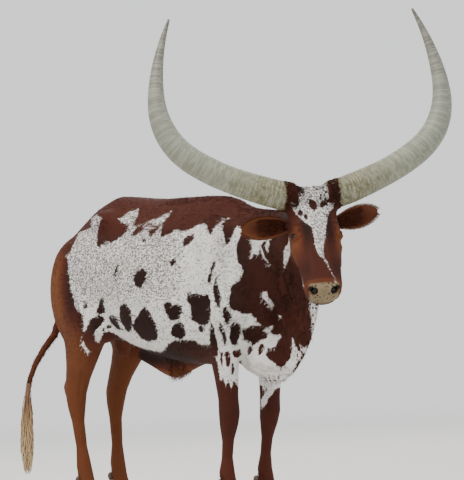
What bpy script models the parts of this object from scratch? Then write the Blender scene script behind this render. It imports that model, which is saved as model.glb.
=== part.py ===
"""An Ankole Watusi bull, life size, standing at rest with its head turned to its right.

The body points along +X, its left side is +Y and it stands on the plane Z = 0. Sizes are in metres.
The flesh is modelled whole from lofted sections and muscle masses, blended by a voxel remesh, and then
parted by thin cuts into the pieces that a person would name. Horns, eyes, claws and the tail's hair are
solids of their own.
"""

import math
import random

import bmesh
import bpy
from mathutils import Matrix, Vector
from mathutils.bvhtree import BVHTree

# The gap between neighbours, and half the width of the blocks that cut them apart
CLEARANCE = 0.0003
REACH = 0.500
FAR = 1.200
UNDER = -0.200

# How the flesh is blended and thinned
VOXEL = 0.010
SMOOTH_FACTOR = 0.5
SMOOTH_PASSES = 8
BODY_SMOOTH_PASSES = 45
FLESH_TRIANGLES = 6700
HEAD_THINNING = 0.9975

# Where the body's smoothing fades out: ahead of the throat, down the legs and between the forelegs
HEAD_BACK = -0.200
HEAD_TOP = 0.100
HEAD_END = -0.600
THROAT_BACK = 0.120
THROAT_FADE = 0.100
THROAT_END = -0.450
BODY_BOTTOM = 0.620
BODY_FADE = 0.150
LEG_INSIDE = 0.120
LEG_FADE = 0.050
FOREHAND = 0.300

# The head: where the poll is, how far it is turned and how the face slants
POLL = Vector((1.070, -0.142, 1.362))
HEAD_TURN = math.radians(-35)
HEAD_ROLL = math.radians(1.2)
FACE_SLANT = math.radians(35)

# Places along the face, from the poll to the lips
EYE_DOWN = 0.205
EYE_OUT = 0.102
EYE_DEEP = 0.038
EYE_RADIUS = 0.0215
LID = 0.0040
OPENING_RADII = (0.0120, 0.0160, 0.0210)
OPENING_TILT = math.radians(-12)
EYE_SUNK = 0.75
GAZE = Vector((0.35, 1.0, 0.05))
BALL_SIDES = (18, 10)
EYE_GAP = 1.5 * CLEARANCE
MUZZLE_SWING = 0.055

# The horns, in the plane that leans back from the poll
HORN_LEAN = math.radians(13)
HORN_PATH = (
    (0.078, -0.020, 0.062),
    (0.145, 0.001, 0.063),
    (0.200, 0.020, 0.062),
    (0.268, 0.045, 0.060),
    (0.346, 0.080, 0.058),
    (0.425, 0.122, 0.057),
    (0.498, 0.173, 0.056),
    (0.556, 0.233, 0.053),
    (0.594, 0.302, 0.049),
    (0.614, 0.376, 0.043),
    (0.618, 0.456, 0.036),
    (0.609, 0.543, 0.029),
    (0.591, 0.632, 0.021),
    (0.565, 0.720, 0.013),
    (0.533, 0.804, 0.005),
)
HORN_SIDES = 16
HORN_BOSS = ((0.015, -0.050, 0.050), (0.070, -0.028, 0.062), (0.116, -0.010, 0.065))
BOSS_SIDES = 20

# The torso: x, top, bottom, half width, height of the widest place, how much the top narrows
TORSO = (
    (-0.690, 1.165, 1.040, 0.080, 1.120, 0.10),
    (-0.640, 1.235, 0.950, 0.140, 1.140, 0.25),
    (-0.540, 1.325, 0.860, 0.195, 1.140, 0.35),
    (-0.420, 1.410, 0.800, 0.225, 1.130, 0.40),
    (-0.300, 1.452, 0.770, 0.235, 1.080, 0.40),
    (-0.160, 1.436, 0.730, 0.262, 1.030, 0.42),
    (0.000, 1.418, 0.682, 0.295, 1.000, 0.42),
    (0.160, 1.412, 0.650, 0.300, 1.000, 0.42),
    (0.300, 1.410, 0.640, 0.280, 1.000, 0.44),
    (0.430, 1.398, 0.650, 0.245, 1.000, 0.46),
    (0.560, 1.345, 0.660, 0.218, 0.980, 0.52),
    (0.680, 1.290, 0.690, 0.192, 0.970, 0.55),
    (0.770, 1.200, 0.760, 0.135, 0.970, 0.50),
)

# The neck: x, y, top, bottom, half width
NECK = (
    (0.360, 0.000, 1.380, 0.820, 0.150),
    (0.520, -0.002, 1.352, 0.800, 0.160),
    (0.660, -0.012, 1.325, 0.790, 0.150),
    (0.790, -0.036, 1.318, 0.830, 0.128),
    (0.900, -0.070, 1.332, 0.920, 0.102),
    (0.990, -0.108, 1.335, 0.990, 0.094),
    (1.045, -0.132, 1.330, 1.060, 0.085),
)
NECK_SHAPE = (0.60, 0.35, 0.72)
NECK_SIDES = 20

# The dewlap, a fold from the jaw to the brisket: x, y, top, bottom, half thickness
DEWLAP = (
    (0.480, 0.000, 0.760, 0.610, 0.070),
    (0.600, 0.000, 0.780, 0.560, 0.062),
    (0.710, -0.005, 0.820, 0.550, 0.046),
    (0.810, -0.020, 0.880, 0.590, 0.034),
    (0.905, -0.045, 0.980, 0.665, 0.028),
    (0.985, -0.075, 1.060, 0.745, 0.024),
    (1.035, -0.096, 1.110, 0.830, 0.021),
    (1.066, -0.110, 1.120, 0.925, 0.017),
)
DEWLAP_SHAPE = (0.60, 0.00, 0.35)

# The head: down the face, half width, rise of the face above its axis, depth below it
HEAD = (
    (-0.030, 0.060, -0.020, 0.110),
    (0.008, 0.096, 0.004, 0.150),
    (0.075, 0.106, 0.014, 0.190),
    (0.140, 0.110, 0.014, 0.225),
    (0.200, 0.107, 0.008, 0.235),
    (0.260, 0.100, 0.001, 0.215),
    (0.320, 0.094, -0.005, 0.182),
    (0.385, 0.088, -0.009, 0.158),
    (0.432, 0.086, -0.010, 0.148),
    (0.472, 0.087, -0.015, 0.142),
    (0.500, 0.079, -0.028, 0.130),
    (0.513, 0.057, -0.045, 0.112),
)
HEAD_SIDES = 24
HEAD_WIDEST = 0.36
FACE_WIDEST = 0.10
JAW_NARROWING = 0.34

# The forms that swell the head, on both sides and on its middle line: centre and radii
HEAD_MASSES = (
    ("brow", (-0.026, 0.086, -0.178), (0.030, 0.030, 0.040)),
    ("cheek_bone", (-0.068, 0.082, -0.232), (0.028, 0.026, 0.055)),
    ("jaw_muscle", (-0.145, 0.067, -0.160), (0.075, 0.037, 0.078)),
    ("nostril_wing", (-0.043, 0.054, -0.470), (0.030, 0.030, 0.034)),
)
HEAD_MIDLINE = (
    ("poll", (-0.010, 0.0, -0.022), (0.046, 0.100, 0.062)),
    ("chin", (-0.115, 0.0, -0.458), (0.034, 0.052, 0.042)),
)

# Each leg's sections: height, x, distance from the middle plane, half length, half width
FRONT_LEG = (
    (0.900, 0.530, 0.175, 0.125, 0.078),
    (0.800, 0.505, 0.163, 0.102, 0.074),
    (0.700, 0.510, 0.150, 0.078, 0.062),
    (0.600, 0.515, 0.140, 0.062, 0.054),
    (0.500, 0.520, 0.134, 0.051, 0.047),
    (0.430, 0.525, 0.132, 0.053, 0.051),
    (0.375, 0.520, 0.131, 0.045, 0.045),
    (0.315, 0.512, 0.130, 0.032, 0.031),
    (0.240, 0.505, 0.129, 0.030, 0.029),
    (0.175, 0.500, 0.128, 0.040, 0.040),
    (0.125, 0.515, 0.128, 0.038, 0.041),
    (0.060, 0.535, 0.128, 0.050, 0.049),
    (0.020, 0.545, 0.128, 0.050, 0.049),
)
HIND_LEG = (
    (1.000, -0.440, 0.150, 0.190, 0.090),
    (0.880, -0.420, 0.158, 0.165, 0.084),
    (0.780, -0.430, 0.155, 0.138, 0.070),
    (0.680, -0.472, 0.148, 0.103, 0.056),
    (0.600, -0.510, 0.142, 0.078, 0.047),
    (0.530, -0.535, 0.138, 0.067, 0.043),
    (0.470, -0.537, 0.136, 0.053, 0.041),
    (0.400, -0.532, 0.134, 0.036, 0.033),
    (0.280, -0.515, 0.132, 0.032, 0.029),
    (0.185, -0.505, 0.130, 0.041, 0.040),
    (0.130, -0.490, 0.130, 0.038, 0.041),
    (0.060, -0.470, 0.130, 0.050, 0.049),
    (0.020, -0.460, 0.130, 0.050, 0.049),
)
LEG_SIDES = 16

# How each foot stands away from the plain leg: how far forward its sections lean at the ground, and out
STANCE = {
    "foreleg_right": (FRONT_LEG, -1, -0.045, 0.000),
    "foreleg_left": (FRONT_LEG, 1, -0.060, -0.020),
    "hindleg_right": (HIND_LEG, -1, -0.005, 0.000),
    "hindleg_left": (HIND_LEG, 1, -0.070, -0.010),
}
STANCE_TOP = 0.90

# The muscles and bony points that swell the surface: centre, radii and forward tilt in degrees, both sides
MASSES = (
    ("shoulder", (0.440, 0.145, 1.040), (0.170, 0.090, 0.270), 14),
    ("shoulder_point", (0.625, 0.130, 0.960), (0.110, 0.082, 0.150), 0),
    ("upper_arm", (0.560, 0.160, 0.880), (0.140, 0.080, 0.100), -35),
    ("elbow", (0.420, 0.165, 0.810), (0.055, 0.045, 0.075), 0),
    ("hook_bone", (-0.285, 0.128, 1.320), (0.090, 0.068, 0.060), 0),
    ("pin_bone", (-0.630, 0.095, 1.165), (0.060, 0.048, 0.055), 0),
    ("thigh", (-0.500, 0.130, 1.000), (0.170, 0.110, 0.270), 0),
    ("buttock", (-0.590, 0.110, 1.040), (0.100, 0.085, 0.210), 6),
    ("stifle", (-0.290, 0.165, 0.860), (0.095, 0.070, 0.110), -20),
    ("hock_point", (-0.592, 0.140, 0.560), (0.030, 0.022, 0.045), 0),
)
MIDLINE_MASSES = (
    ("brisket", (0.650, 0.000, 0.715), (0.165, 0.115, 0.145), 0),
    ("withers", (0.340, 0.000, 1.335), (0.200, 0.060, 0.072), 0),
    ("tail_head", (-0.625, 0.000, 1.212), (0.085, 0.045, 0.050), 30),
)

# The sheath, a fold under the belly, by x and its bottom, and the purse between the thighs
SHEATH = ((-0.230, 0.690), (-0.140, 0.640), (-0.050, 0.598), (0.020, 0.582), (0.080, 0.600), (0.210, 0.645))
SHEATH_TOP = 0.740
SHEATH_WIDEST = 0.670
SHEATH_HALF_WIDTH = 0.034
SHEATH_SIDES = 16
PURSE = ((-0.345, 0.000, 0.760), (0.055, 0.040, 0.085))

# The tail down to the end of its bone, and where the hair starts and ends
TAIL = (
    (-0.620, 0.000, 1.205, 0.036),
    (-0.700, 0.000, 1.175, 0.031),
    (-0.748, -0.004, 1.095, 0.027),
    (-0.768, -0.010, 1.000, 0.024),
    (-0.775, -0.026, 0.886, 0.021),
    (-0.778, -0.055, 0.815, 0.0195),
    (-0.783, -0.115, 0.752, 0.018),
    (-0.790, -0.172, 0.676, 0.0165),
    (-0.797, -0.205, 0.600, 0.015),
    (-0.800, -0.218, 0.540, 0.015),
    (-0.801, -0.224, 0.460, 0.019),
    (-0.802, -0.228, 0.380, 0.017),
    (-0.803, -0.232, 0.270, 0.006),
)
TAIL_CUTS = (0.960, 0.570)
TAIL_SIDES = 12
SWITCH_LOCKS = 12
SWITCH_TOP = 0.545
SWITCH_BOTTOM = 0.160
SWITCH_STAGGER = 0.200
SWITCH_RAGGED = 0.090
LOCK_WIDTH = 0.014
LOCK_THICKNESS = 0.0045
LOCK_SPREAD = 0.026
LOCK_SUNK = 0.35
LOCK_TURN = 2.4
LOCK_SWAY = 0.006
LOCK_WAVES = 7.0
LOCK_ROOT = 0.55
LOCK_SWELL = 1.6
LOCK_TIP = 0.06
LOCK_RINGS = 5

# The ears: share of the length, half height, depth of the cup and thickness of its middle
EAR_ROOT = Vector((-0.020, 0.092, -0.134))
EAR_AIMS = {"right": (-0.16, 1.0, -0.03), "left": (-0.16, 1.0, 0.20)}
EAR_LENGTH = 0.212
EAR_RIM = 0.003
EAR_RISE = Vector((-0.25, 0.0, 1.0)).normalized()
EAR_HOLLOW = 0.96
EAR = (
    (0.00, 0.026, 0.030, 0.028),
    (0.10, 0.030, 0.032, 0.020),
    (0.20, 0.037, 0.034, 0.011),
    (0.34, 0.046, 0.034, 0.007),
    (0.50, 0.050, 0.030, 0.006),
    (0.66, 0.047, 0.024, 0.005),
    (0.80, 0.038, 0.017, 0.005),
    (0.91, 0.024, 0.010, 0.004),
    (0.98, 0.011, 0.005, 0.004),
)
EAR_STEPS = 7

# The mouth's line, worked out from a centre inside the muzzle, and the nostrils
MOUTH_CENTRE = Vector((-0.092, 0.0, -0.420))
MOUTH_SWEEP = math.radians(102)
MOUTH_SLOPE = 0.12
MOUTH_RADIUS = 0.0042
MOUTH_STEPS = 18
MOUTH_SIDES = 8
NOSTRIL = Vector((-0.036, 0.046, -0.494))
NOSTRIL_RADII = (0.0085, 0.0150, 0.0200)
NOSTRIL_TILT = math.radians(35)

# The feet: the slanted plane of the coronet, and each claw's sizes
CORONET = 0.058
CORONET_SLOPE = 0.36
CLAW_OUT = 0.0245
CLAW_HALF_WIDTH = 0.0225
CLAW_SIDES = 14
CLAW_TAPER = 0.22
CLAW_GAP = 1.3 * CLEARANCE
CLAW = (
    (0.000, 0.014, 0.062, 1.00),
    (0.350, 0.010, 0.060, 1.02),
    (1.000, -0.002, 0.049, 0.95),
)
DEWCLAW_HEIGHT = 0.125
DEWCLAW_RADII = (0.016, 0.013, 0.022)
DEWCLAW_BACK = 0.056
DEWCLAW_OUT = 0.021
DEWCLAW_TILT = math.radians(25)

# Where the flesh is parted: outlines in the X and Z of the body, or of the head for the head
HEAD_REGION = (
    (-0.120, 0.200),
    (-0.135, -0.050),
    (-0.205, -0.165),
    (-0.252, -0.225),
    (-0.235, -0.290),
    (-0.195, -0.355),
    (-0.160, -0.420),
    (-0.150, -0.600),
    (0.250, -0.600),
    (0.250, 0.200),
)
NECK_REGION = ((0.500, 1.600), (0.740, 0.960), (0.800, 0.400), (1.500, 0.400), (1.500, 1.600))
FORELEG_REGION = ((0.350, 0.755), (0.680, 0.755), (0.680, -0.100), (0.300, -0.100))
HINDLEG_REGION = (
    (-0.800, 0.900),
    (-0.340, 0.930),
    (-0.210, 0.800),
    (-0.210, -0.100),
    (-0.800, -0.100),
)
SHEATH_REGION = (
    (-0.260, 0.722),
    (-0.100, 0.690),
    (0.060, 0.664),
    (0.240, 0.652),
    (0.240, 0.400),
    (-0.260, 0.400),
)
SHEATH_OUT = 0.045
PURSE_REGION = ((-0.430, 0.790), (-0.270, 0.775), (-0.262, 0.400), (-0.430, 0.400))
PURSE_OUT = 0.053
FORELEG_INNER = 0.082
HINDLEG_INNER = 0.055
KNEE_CUT = 0.372
HOCK_CUT = 0.452

# Colours as sRGB hex values, with roughness
FINISHES = {
    "coat": ("8a4a30", 0.85),
    "horn": ("a9a48f", 0.55),
    "eye": ("1a1210", 0.10),
    "claw": ("4a3f38", 0.55),
    "switch": ("b39a72", 0.80),
}
KINDS = {"horn": "horn", "eye": "eye", "claw": "claw", "dewclaw": "claw", "tail_switch": "switch"}


def clear_scene():
    for thing in list(bpy.data.objects):
        bpy.data.objects.remove(thing)


def finish(mesh_or_bm, name):
    """A bmesh or mesh made an object in the scene."""
    if isinstance(mesh_or_bm, bmesh.types.BMesh):
        bmesh.ops.recalc_face_normals(mesh_or_bm, faces=mesh_or_bm.faces)
        bmesh.ops.triangulate(mesh_or_bm, faces=mesh_or_bm.faces)
        mesh = bpy.data.meshes.new(name)
        mesh_or_bm.to_mesh(mesh)
        mesh_or_bm.free()
    else:
        mesh = mesh_or_bm
    thing = bpy.data.objects.new(name, mesh)
    bpy.context.scene.collection.objects.link(thing)
    return thing


def loft(bm, rings):
    """Bridges closed rings of points, each with as many points, and caps both ends."""
    loops = []
    for ring in rings:
        verts = [bm.verts.new(point) for point in ring]
        edges = [bm.edges.new((verts[i - 1], verts[i])) for i in range(len(verts))]
        loops.append((verts, edges))
    for (_, lower), (_, upper) in zip(loops, loops[1:]):
        bmesh.ops.bridge_loops(bm, edges=lower + upper)
    bm.faces.new(loops[0][0])
    bm.faces.new(loops[-1][0])


def bulged(value, power):
    """A sine or cosine whose curve is filled out, its sign kept."""
    return math.copysign(abs(value) ** power, value)


def upright_ring(x, y, top, bottom, half_width, widest, narrowing, heading=0.0, sides=28, keel=0.0):
    """A section across a body that lies along X, turned by its heading about Z."""
    points = []
    for i in range(sides):
        angle = 2 * math.pi * i / sides
        up = math.sin(angle)
        reach = (top - widest) if up > 0 else (widest - bottom)
        width = half_width * (1 - narrowing * max(up, 0) ** 1.6) * (1 - keel * max(-up, 0) ** 1.3)
        side = bulged(math.cos(angle), 0.85) * width
        points.append(
            Vector((x - side * math.sin(heading), y + side * math.cos(heading), widest + up * reach))
        )
    return points


def flat_ring(z, x, y, half_length, half_width, sides=LEG_SIDES):
    """A level section across a leg."""
    return [
        Vector(
            (
                x + half_length * math.cos(2 * math.pi * i / sides),
                y + half_width * math.sin(2 * math.pi * i / sides),
                z,
            )
        )
        for i in range(sides)
    ]


def round_ring(centre, along, radius, sides, wide=1.0):
    """A section across a round bar that runs along a direction."""
    along = along.normalized()
    side = along.cross(Vector((0, 0, 1)) if abs(along.z) < 0.95 else Vector((0, 1, 0))).normalized()
    other = side.cross(along)
    return [
        centre
        + side * radius * wide * math.cos(2 * math.pi * i / sides)
        + other * radius * math.sin(2 * math.pi * i / sides)
        for i in range(sides)
    ]


def bar_rings(stations, sides):
    """Rings along a bar given as (centre, radius) pairs."""
    rings = []
    for i, (centre, radius) in enumerate(stations):
        before = stations[max(i - 1, 0)][0]
        after = stations[min(i + 1, len(stations) - 1)][0]
        rings.append(round_ring(centre, after - before, radius, sides))
    return rings


def spheroid(bm, centre, radii, tilt=0.0, segments=20, rings=12, matrix=None):
    """A stretched ball, its top tilted forward by an angle in radians."""
    frame = matrix or Matrix.Identity(4)
    place = (
        frame
        @ Matrix.Translation(centre)
        @ Matrix.Rotation(tilt, 4, "Y")
        @ Matrix.Diagonal((*radii, 1.0))
    )
    bmesh.ops.create_uvsphere(bm, u_segments=segments, v_segments=rings, radius=1.0, matrix=place)


def poll_frame(slant=0.0):
    """Axes at the poll: X ahead of the head, Y to its left and Z up, tipped back by a slant."""
    turn = Matrix.Rotation(HEAD_TURN, 4, "Z")
    roll = Matrix.Rotation(HEAD_ROLL, 4, "X")
    tip = Matrix.Rotation(-slant, 4, "Y")
    return Matrix.Translation(POLL) @ turn @ roll @ tip


def swung(x, y, z):
    """A point of the face, moved aside as the muzzle swings to the right below the eyes."""
    return Vector((x, y - MUZZLE_SWING * max(-z - EYE_DOWN, 0), z))


def head_ring(down, half_width, rise, depth):
    """A section across the head, egg-shaped: broad at the face and narrow at the jaw."""
    points = []
    middle = (rise - depth) * HEAD_WIDEST + rise * FACE_WIDEST
    for i in range(HEAD_SIDES):
        angle = 2 * math.pi * i / HEAD_SIDES
        up = math.sin(angle)
        reach = (rise - middle) if up > 0 else (middle + depth)
        width = half_width * (1 - JAW_NARROWING * max(-up, 0) ** 1.5)
        side = bulged(math.cos(angle), 0.8) * width
        points.append(swung(middle + bulged(up, 0.85) * reach, side, -down))
    return points


def build_torso(bm):
    loft(bm, [upright_ring(x, 0.0, *rest) for x, *rest in TORSO])
    for _, centre, radii, tilt in MIDLINE_MASSES:
        spheroid(bm, centre, radii, math.radians(tilt))
    for _, (x, y, z), radii, tilt in MASSES:
        for side in (-1, 1):
            spheroid(bm, (x, side * y, z), radii, math.radians(tilt))


def build_neck(bm):
    for stations, shape in ((NECK, NECK_SHAPE), (DEWLAP, DEWLAP_SHAPE)):
        widest_share, narrowing, keel = shape
        rings = []
        for i, (x, y, top, bottom, half_width) in enumerate(stations):
            before = stations[max(i - 1, 0)]
            after = stations[min(i + 1, len(stations) - 1)]
            heading = math.atan2(after[1] - before[1], after[0] - before[0])
            widest = bottom + (top - bottom) * widest_share
            section = (top, bottom, half_width, widest, narrowing, heading, NECK_SIDES, keel)
            rings.append(upright_ring(x, y, *section))
        loft(bm, rings)


def horn_stations(path, side):
    """A horn's path on one side of the head, as (centre, radius) pairs."""
    frame = poll_frame(HORN_LEAN)
    return [(frame @ Vector((0, side * out, rise)), radius) for out, rise, radius in path]


def build_head(bm):
    frame = poll_frame(FACE_SLANT)
    loft(bm, [[frame @ point for point in head_ring(*station)] for station in HEAD])
    for side in (-1, 1):
        for _, (x, y, z), radii in HEAD_MASSES:
            spheroid(bm, swung(x, side * y, z), radii, matrix=frame)
        loft(bm, bar_rings(horn_stations(HORN_BOSS, side), BOSS_SIDES))
    for _, centre, radii in HEAD_MIDLINE:
        spheroid(bm, swung(*centre), radii, matrix=frame)


def leg_stations(name):
    sections, side, lean, out = STANCE[name]
    placed = []
    for z, x, y, half_length, half_width in sections:
        share = max(0.0, (STANCE_TOP - z) / STANCE_TOP)
        placed.append((z, x + lean * share, side * (y + out * share), half_length, half_width))
    return placed


def build_legs(bm):
    for name in STANCE:
        loft(bm, [flat_ring(*station) for station in leg_stations(name)])


def build_underside(bm):
    rings = []
    for x, bottom in SHEATH:
        section = (SHEATH_TOP, bottom, SHEATH_HALF_WIDTH, SHEATH_WIDEST, 0.0, 0.0, SHEATH_SIDES)
        rings.append(upright_ring(x, 0.0, *section))
    loft(bm, rings)
    spheroid(bm, *PURSE)


def evaluated(thing):
    """The object's mesh with its modifiers applied, in place of the object."""
    graph = bpy.context.evaluated_depsgraph_get()
    graph.update()
    mesh = bpy.data.meshes.new_from_object(thing.evaluated_get(graph))
    name = thing.name
    bpy.data.objects.remove(thing)
    return finish(mesh, name)


def duplicate(thing, name):
    return finish(thing.data.copy(), name)


def fade(value, start, length):
    """How far a value is past a start, as a share of a length, from 0 to 1."""
    return min(max((value - start) / length, 0), 1)


def weigh(thing):
    """Marks how much of the body's smoothing each place gets, and where the mesh is kept fine."""
    inward = poll_frame(FACE_SLANT).inverted()
    body = thing.vertex_groups.new(name="body")
    fine = thing.vertex_groups.new(name="fine")
    for vertex in thing.data.vertices:
        local = inward @ vertex.co
        is_head = local.x > HEAD_BACK and HEAD_END < local.z < HEAD_TOP
        fine.add([vertex.index], HEAD_THINNING if is_head else 1.0, "REPLACE")
        behind_head = fade(-local.x, THROAT_BACK, THROAT_FADE) if local.z > THROAT_END else 1
        above_legs = fade(vertex.co.z, BODY_BOTTOM, BODY_FADE)
        between_legs = fade(-abs(vertex.co.y), -LEG_INSIDE, LEG_FADE) if vertex.co.x > FOREHAND else 0
        body.add([vertex.index], min(behind_head, max(above_legs, between_legs)), "REPLACE")


def flesh():
    """The whole of the flesh, blended into one skin and thinned, finest at the head."""
    bm = bmesh.new()
    build_torso(bm)
    build_neck(bm)
    build_head(bm)
    build_legs(bm)
    build_underside(bm)
    thing = finish(bm, "flesh")
    remesh = thing.modifiers.new("blend", "REMESH")
    remesh.mode = "VOXEL"
    remesh.voxel_size = VOXEL
    smooth = thing.modifiers.new("smooth", "SMOOTH")
    smooth.factor = SMOOTH_FACTOR
    smooth.iterations = SMOOTH_PASSES
    thing = evaluated(thing)
    weigh(thing)
    settle = thing.modifiers.new("settle", "SMOOTH")
    settle.factor = SMOOTH_FACTOR
    settle.iterations = BODY_SMOOTH_PASSES
    settle.vertex_group = "body"
    thin = thing.modifiers.new("thin", "DECIMATE")
    thin.ratio = FLESH_TRIANGLES / (2 * len(thing.data.polygons))
    thin.vertex_group = "fine"
    return evaluated(thing)


def keep_largest(thing):
    """Keeps only the largest closed surface of a mesh."""
    bm = bmesh.new()
    bm.from_mesh(thing.data)
    unseen = set(bm.verts)
    shells = []
    while unseen:
        start = unseen.pop()
        shell = {start}
        edge_of_search = [start]
        while edge_of_search:
            vert = edge_of_search.pop()
            for edge in vert.link_edges:
                other = edge.other_vert(vert)
                if other in unseen:
                    unseen.remove(other)
                    shell.add(other)
                    edge_of_search.append(other)
        shells.append(shell)
    shells.sort(key=len)
    for shell in shells[:-1]:
        bmesh.ops.delete(bm, geom=list(shell), context="VERTS")
    bm.to_mesh(thing.data)
    bm.free()
    return thing


def combine(thing, other, operation):
    """One Boolean, applied, after which the other object is removed."""
    boolean = thing.modifiers.new("boolean", "BOOLEAN")
    boolean.operation = operation
    boolean.solver = "EXACT"
    boolean.object = other
    result = keep_largest(evaluated(thing))
    bpy.data.objects.remove(other)
    return result


def grown(thing, amount):
    """A copy whose faces all stand out by an amount."""
    bm = bmesh.new()
    bm.from_mesh(thing.data)
    bm.normal_update()
    moves = [(vert, vert.normal * vert.calc_shell_factor() * amount) for vert in bm.verts]
    for vert, move in moves:
        vert.co += move
    return finish(bm, "grown")


def prism(outline, low, high, frame=None):
    """A closed prism: an outline in X and Z, extruded along Y between two places."""
    bm = bmesh.new()
    face = bm.faces.new([bm.verts.new((x, low, z)) for x, z in outline])
    extruded = bmesh.ops.extrude_face_region(bm, geom=[face])["geom"]
    tops = [item for item in extruded if isinstance(item, bmesh.types.BMVert)]
    bmesh.ops.translate(bm, verts=tops, vec=(0, high - low, 0))
    if frame:
        bmesh.ops.transform(bm, matrix=frame, verts=bm.verts)
    return finish(bm, "region")


def below(height):
    """The outline of all that lies below a height."""
    return ((-FAR, height), (FAR, height), (FAR, UNDER), (-FAR, UNDER))


def socket(body, piece):
    """Carves the place where a piece's root is sunk into a body, with a thin gap."""
    return combine(body, grown(piece, CLEARANCE), "DIFFERENCE")


def part_off(body, name, region):
    """Cuts what lies in a region off a body, with a thin gap, as a piece of its own."""
    piece = duplicate(body, name)
    wider = grown(region, CLEARANCE)
    piece = combine(piece, region, "INTERSECT")
    body = combine(body, wider, "DIFFERENCE")
    return body, piece


def part_legs(torso):
    """Parts each leg from the torso, and each again below its knee or hock."""
    for name, region, inner, cut in (
        ("foreleg", FORELEG_REGION, FORELEG_INNER, KNEE_CUT),
        ("hindleg", HINDLEG_REGION, HINDLEG_INNER, HOCK_CUT),
    ):
        for side, word in ((-1, "right"), (1, "left")):
            low, high = sorted((side * inner, side * REACH))
            torso, leg = part_off(torso, f"upper_{name}_{word}", prism(region, low, high))
            leg = trim_foot(leg, f"{name}_{word}")
            part_off(leg, f"lower_{name}_{word}", prism(below(cut), -REACH, REACH))
    return torso


def foot_place(name):
    """Where a foot stands: x and y of its section at the coronet."""
    _, x, y, _, _ = leg_stations(name)[-2]
    return x, y


def trim_foot(leg, name):
    """Cuts the leg off level with the coronet, where its claws begin."""
    x, _ = foot_place(name)
    front, back = x + REACH, x - REACH
    outline = (
        (back, CORONET - REACH * CORONET_SLOPE),
        (front, CORONET + REACH * CORONET_SLOPE),
        (front, -REACH),
        (back, -REACH),
    )
    return combine(leg, prism(outline, -REACH, REACH), "DIFFERENCE")


def make_claws(name):
    """The two claws of a foot, flat below and cut level with the coronet above."""
    x, y = foot_place(name)
    outward = STANCE[name][1]
    for side, word in ((outward, "outer"), (-outward, "inner")):
        bm = bmesh.new()
        rings = []
        for share, forward, half_length, plump in CLAW:
            ring = []
            for i in range(CLAW_SIDES):
                angle = 2 * math.pi * i / CLAW_SIDES
                ahead = forward + half_length * math.cos(angle)
                taper = 1 - CLAW_TAPER * max(math.cos(angle), 0) ** 2
                across = CLAW_HALF_WIDTH * plump * taper * math.sin(angle)
                top = CORONET - CLAW_GAP + CORONET_SLOPE * ahead
                ring.append(Vector((x + ahead, y + side * CLAW_OUT + across, share * top)))
            rings.append(ring)
        loft(bm, rings)
        finish(bm, f"claw_{name}_{word}")


def make_dewclaws(name):
    x, y = foot_place(name)
    outward = STANCE[name][1]
    made = []
    for side, word in ((outward, "outer"), (-outward, "inner")):
        bm = bmesh.new()
        place = (x - DEWCLAW_BACK, y + side * DEWCLAW_OUT, DEWCLAW_HEIGHT)
        spheroid(bm, place, DEWCLAW_RADII, DEWCLAW_TILT, 8, 6)
        made.append(finish(bm, f"dewclaw_{name}_{word}"))
    return made


def make_horns():
    made = []
    for side, word in ((-1, "right"), (1, "left")):
        bm = bmesh.new()
        loft(bm, bar_rings(horn_stations(HORN_PATH, side), HORN_SIDES))
        made.append(finish(bm, f"horn_{word}"))
    return made


def ear_ring(share, half_height, depth, thickness, side, aim):
    """A crescent across the ear: the back of the cup, then its hollow."""
    middle = EAR_ROOT + aim * EAR_LENGTH * share
    back, hollow = [], []
    for i in range(EAR_STEPS):
        across = 2 * i / (EAR_STEPS - 1) - 1
        arch = 1 - across * across
        wall = EAR_RIM + (thickness - EAR_RIM) * arch
        up = EAR_RISE * half_height * across
        back.append(middle + up + Vector((-depth * arch, 0, 0)))
        hollow.append(middle + up * EAR_HOLLOW + Vector((wall - depth * arch, 0, 0)))
    ring = back + hollow[::-1]
    return [poll_frame() @ Vector((point.x, side * point.y, point.z)) for point in ring]


def make_ears():
    made = []
    for side, word in ((-1, "right"), (1, "left")):
        bm = bmesh.new()
        aim = Vector(EAR_AIMS[word]).normalized()
        loft(bm, [ear_ring(*station, side, aim) for station in EAR])
        made.append(finish(bm, f"ear_{word}"))
    return made


def ball(frame, centre, radius, name):
    """A round ball, placed in a frame."""
    bm = bmesh.new()
    spheroid(bm, centre, [radius] * 3, 0, *BALL_SIDES, frame)
    return finish(bm, name)


def make_eyes(head):
    """Eyeballs deep in the head, each behind lids that leave an almond open."""
    frame = poll_frame(FACE_SLANT)
    for side, word in ((-1, "right"), (1, "left")):
        centre = Vector((-EYE_DEEP, side * (EYE_OUT - EYE_RADIUS * EYE_SUNK), -EYE_DOWN))
        outward = Vector((GAZE.x, side * GAZE.y, GAZE.z)).normalized()
        head = combine(head, ball(frame, centre, EYE_RADIUS + LID, "lids"), "UNION")
        opening = bmesh.new()
        spheroid(opening, centre + outward * EYE_RADIUS, OPENING_RADII, OPENING_TILT, matrix=frame)
        head = combine(head, finish(opening, "opening"), "DIFFERENCE")
        hollow = ball(frame, centre, EYE_RADIUS + EYE_GAP, "hollow")
        head = combine(head, hollow, "DIFFERENCE")
        ball(frame, centre, EYE_RADIUS, f"eye_{word}")
    return head


def mouth_path(head):
    """Points on the muzzle's surface, from one corner of the mouth round to the other."""
    frame = poll_frame(FACE_SLANT)
    tree = BVHTree.FromObject(head, bpy.context.evaluated_depsgraph_get())
    centre = frame @ swung(*MOUTH_CENTRE)
    points = []
    for i in range(MOUTH_STEPS + 1):
        angle = MOUTH_SWEEP * (2 * i / MOUTH_STEPS - 1)
        backward = -MOUTH_SLOPE * abs(math.sin(angle / 2))
        ray = frame.to_3x3() @ Vector((backward, math.sin(angle), -math.cos(angle)))
        points.append(tree.ray_cast(centre, ray.normalized())[0])
    return points


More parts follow.
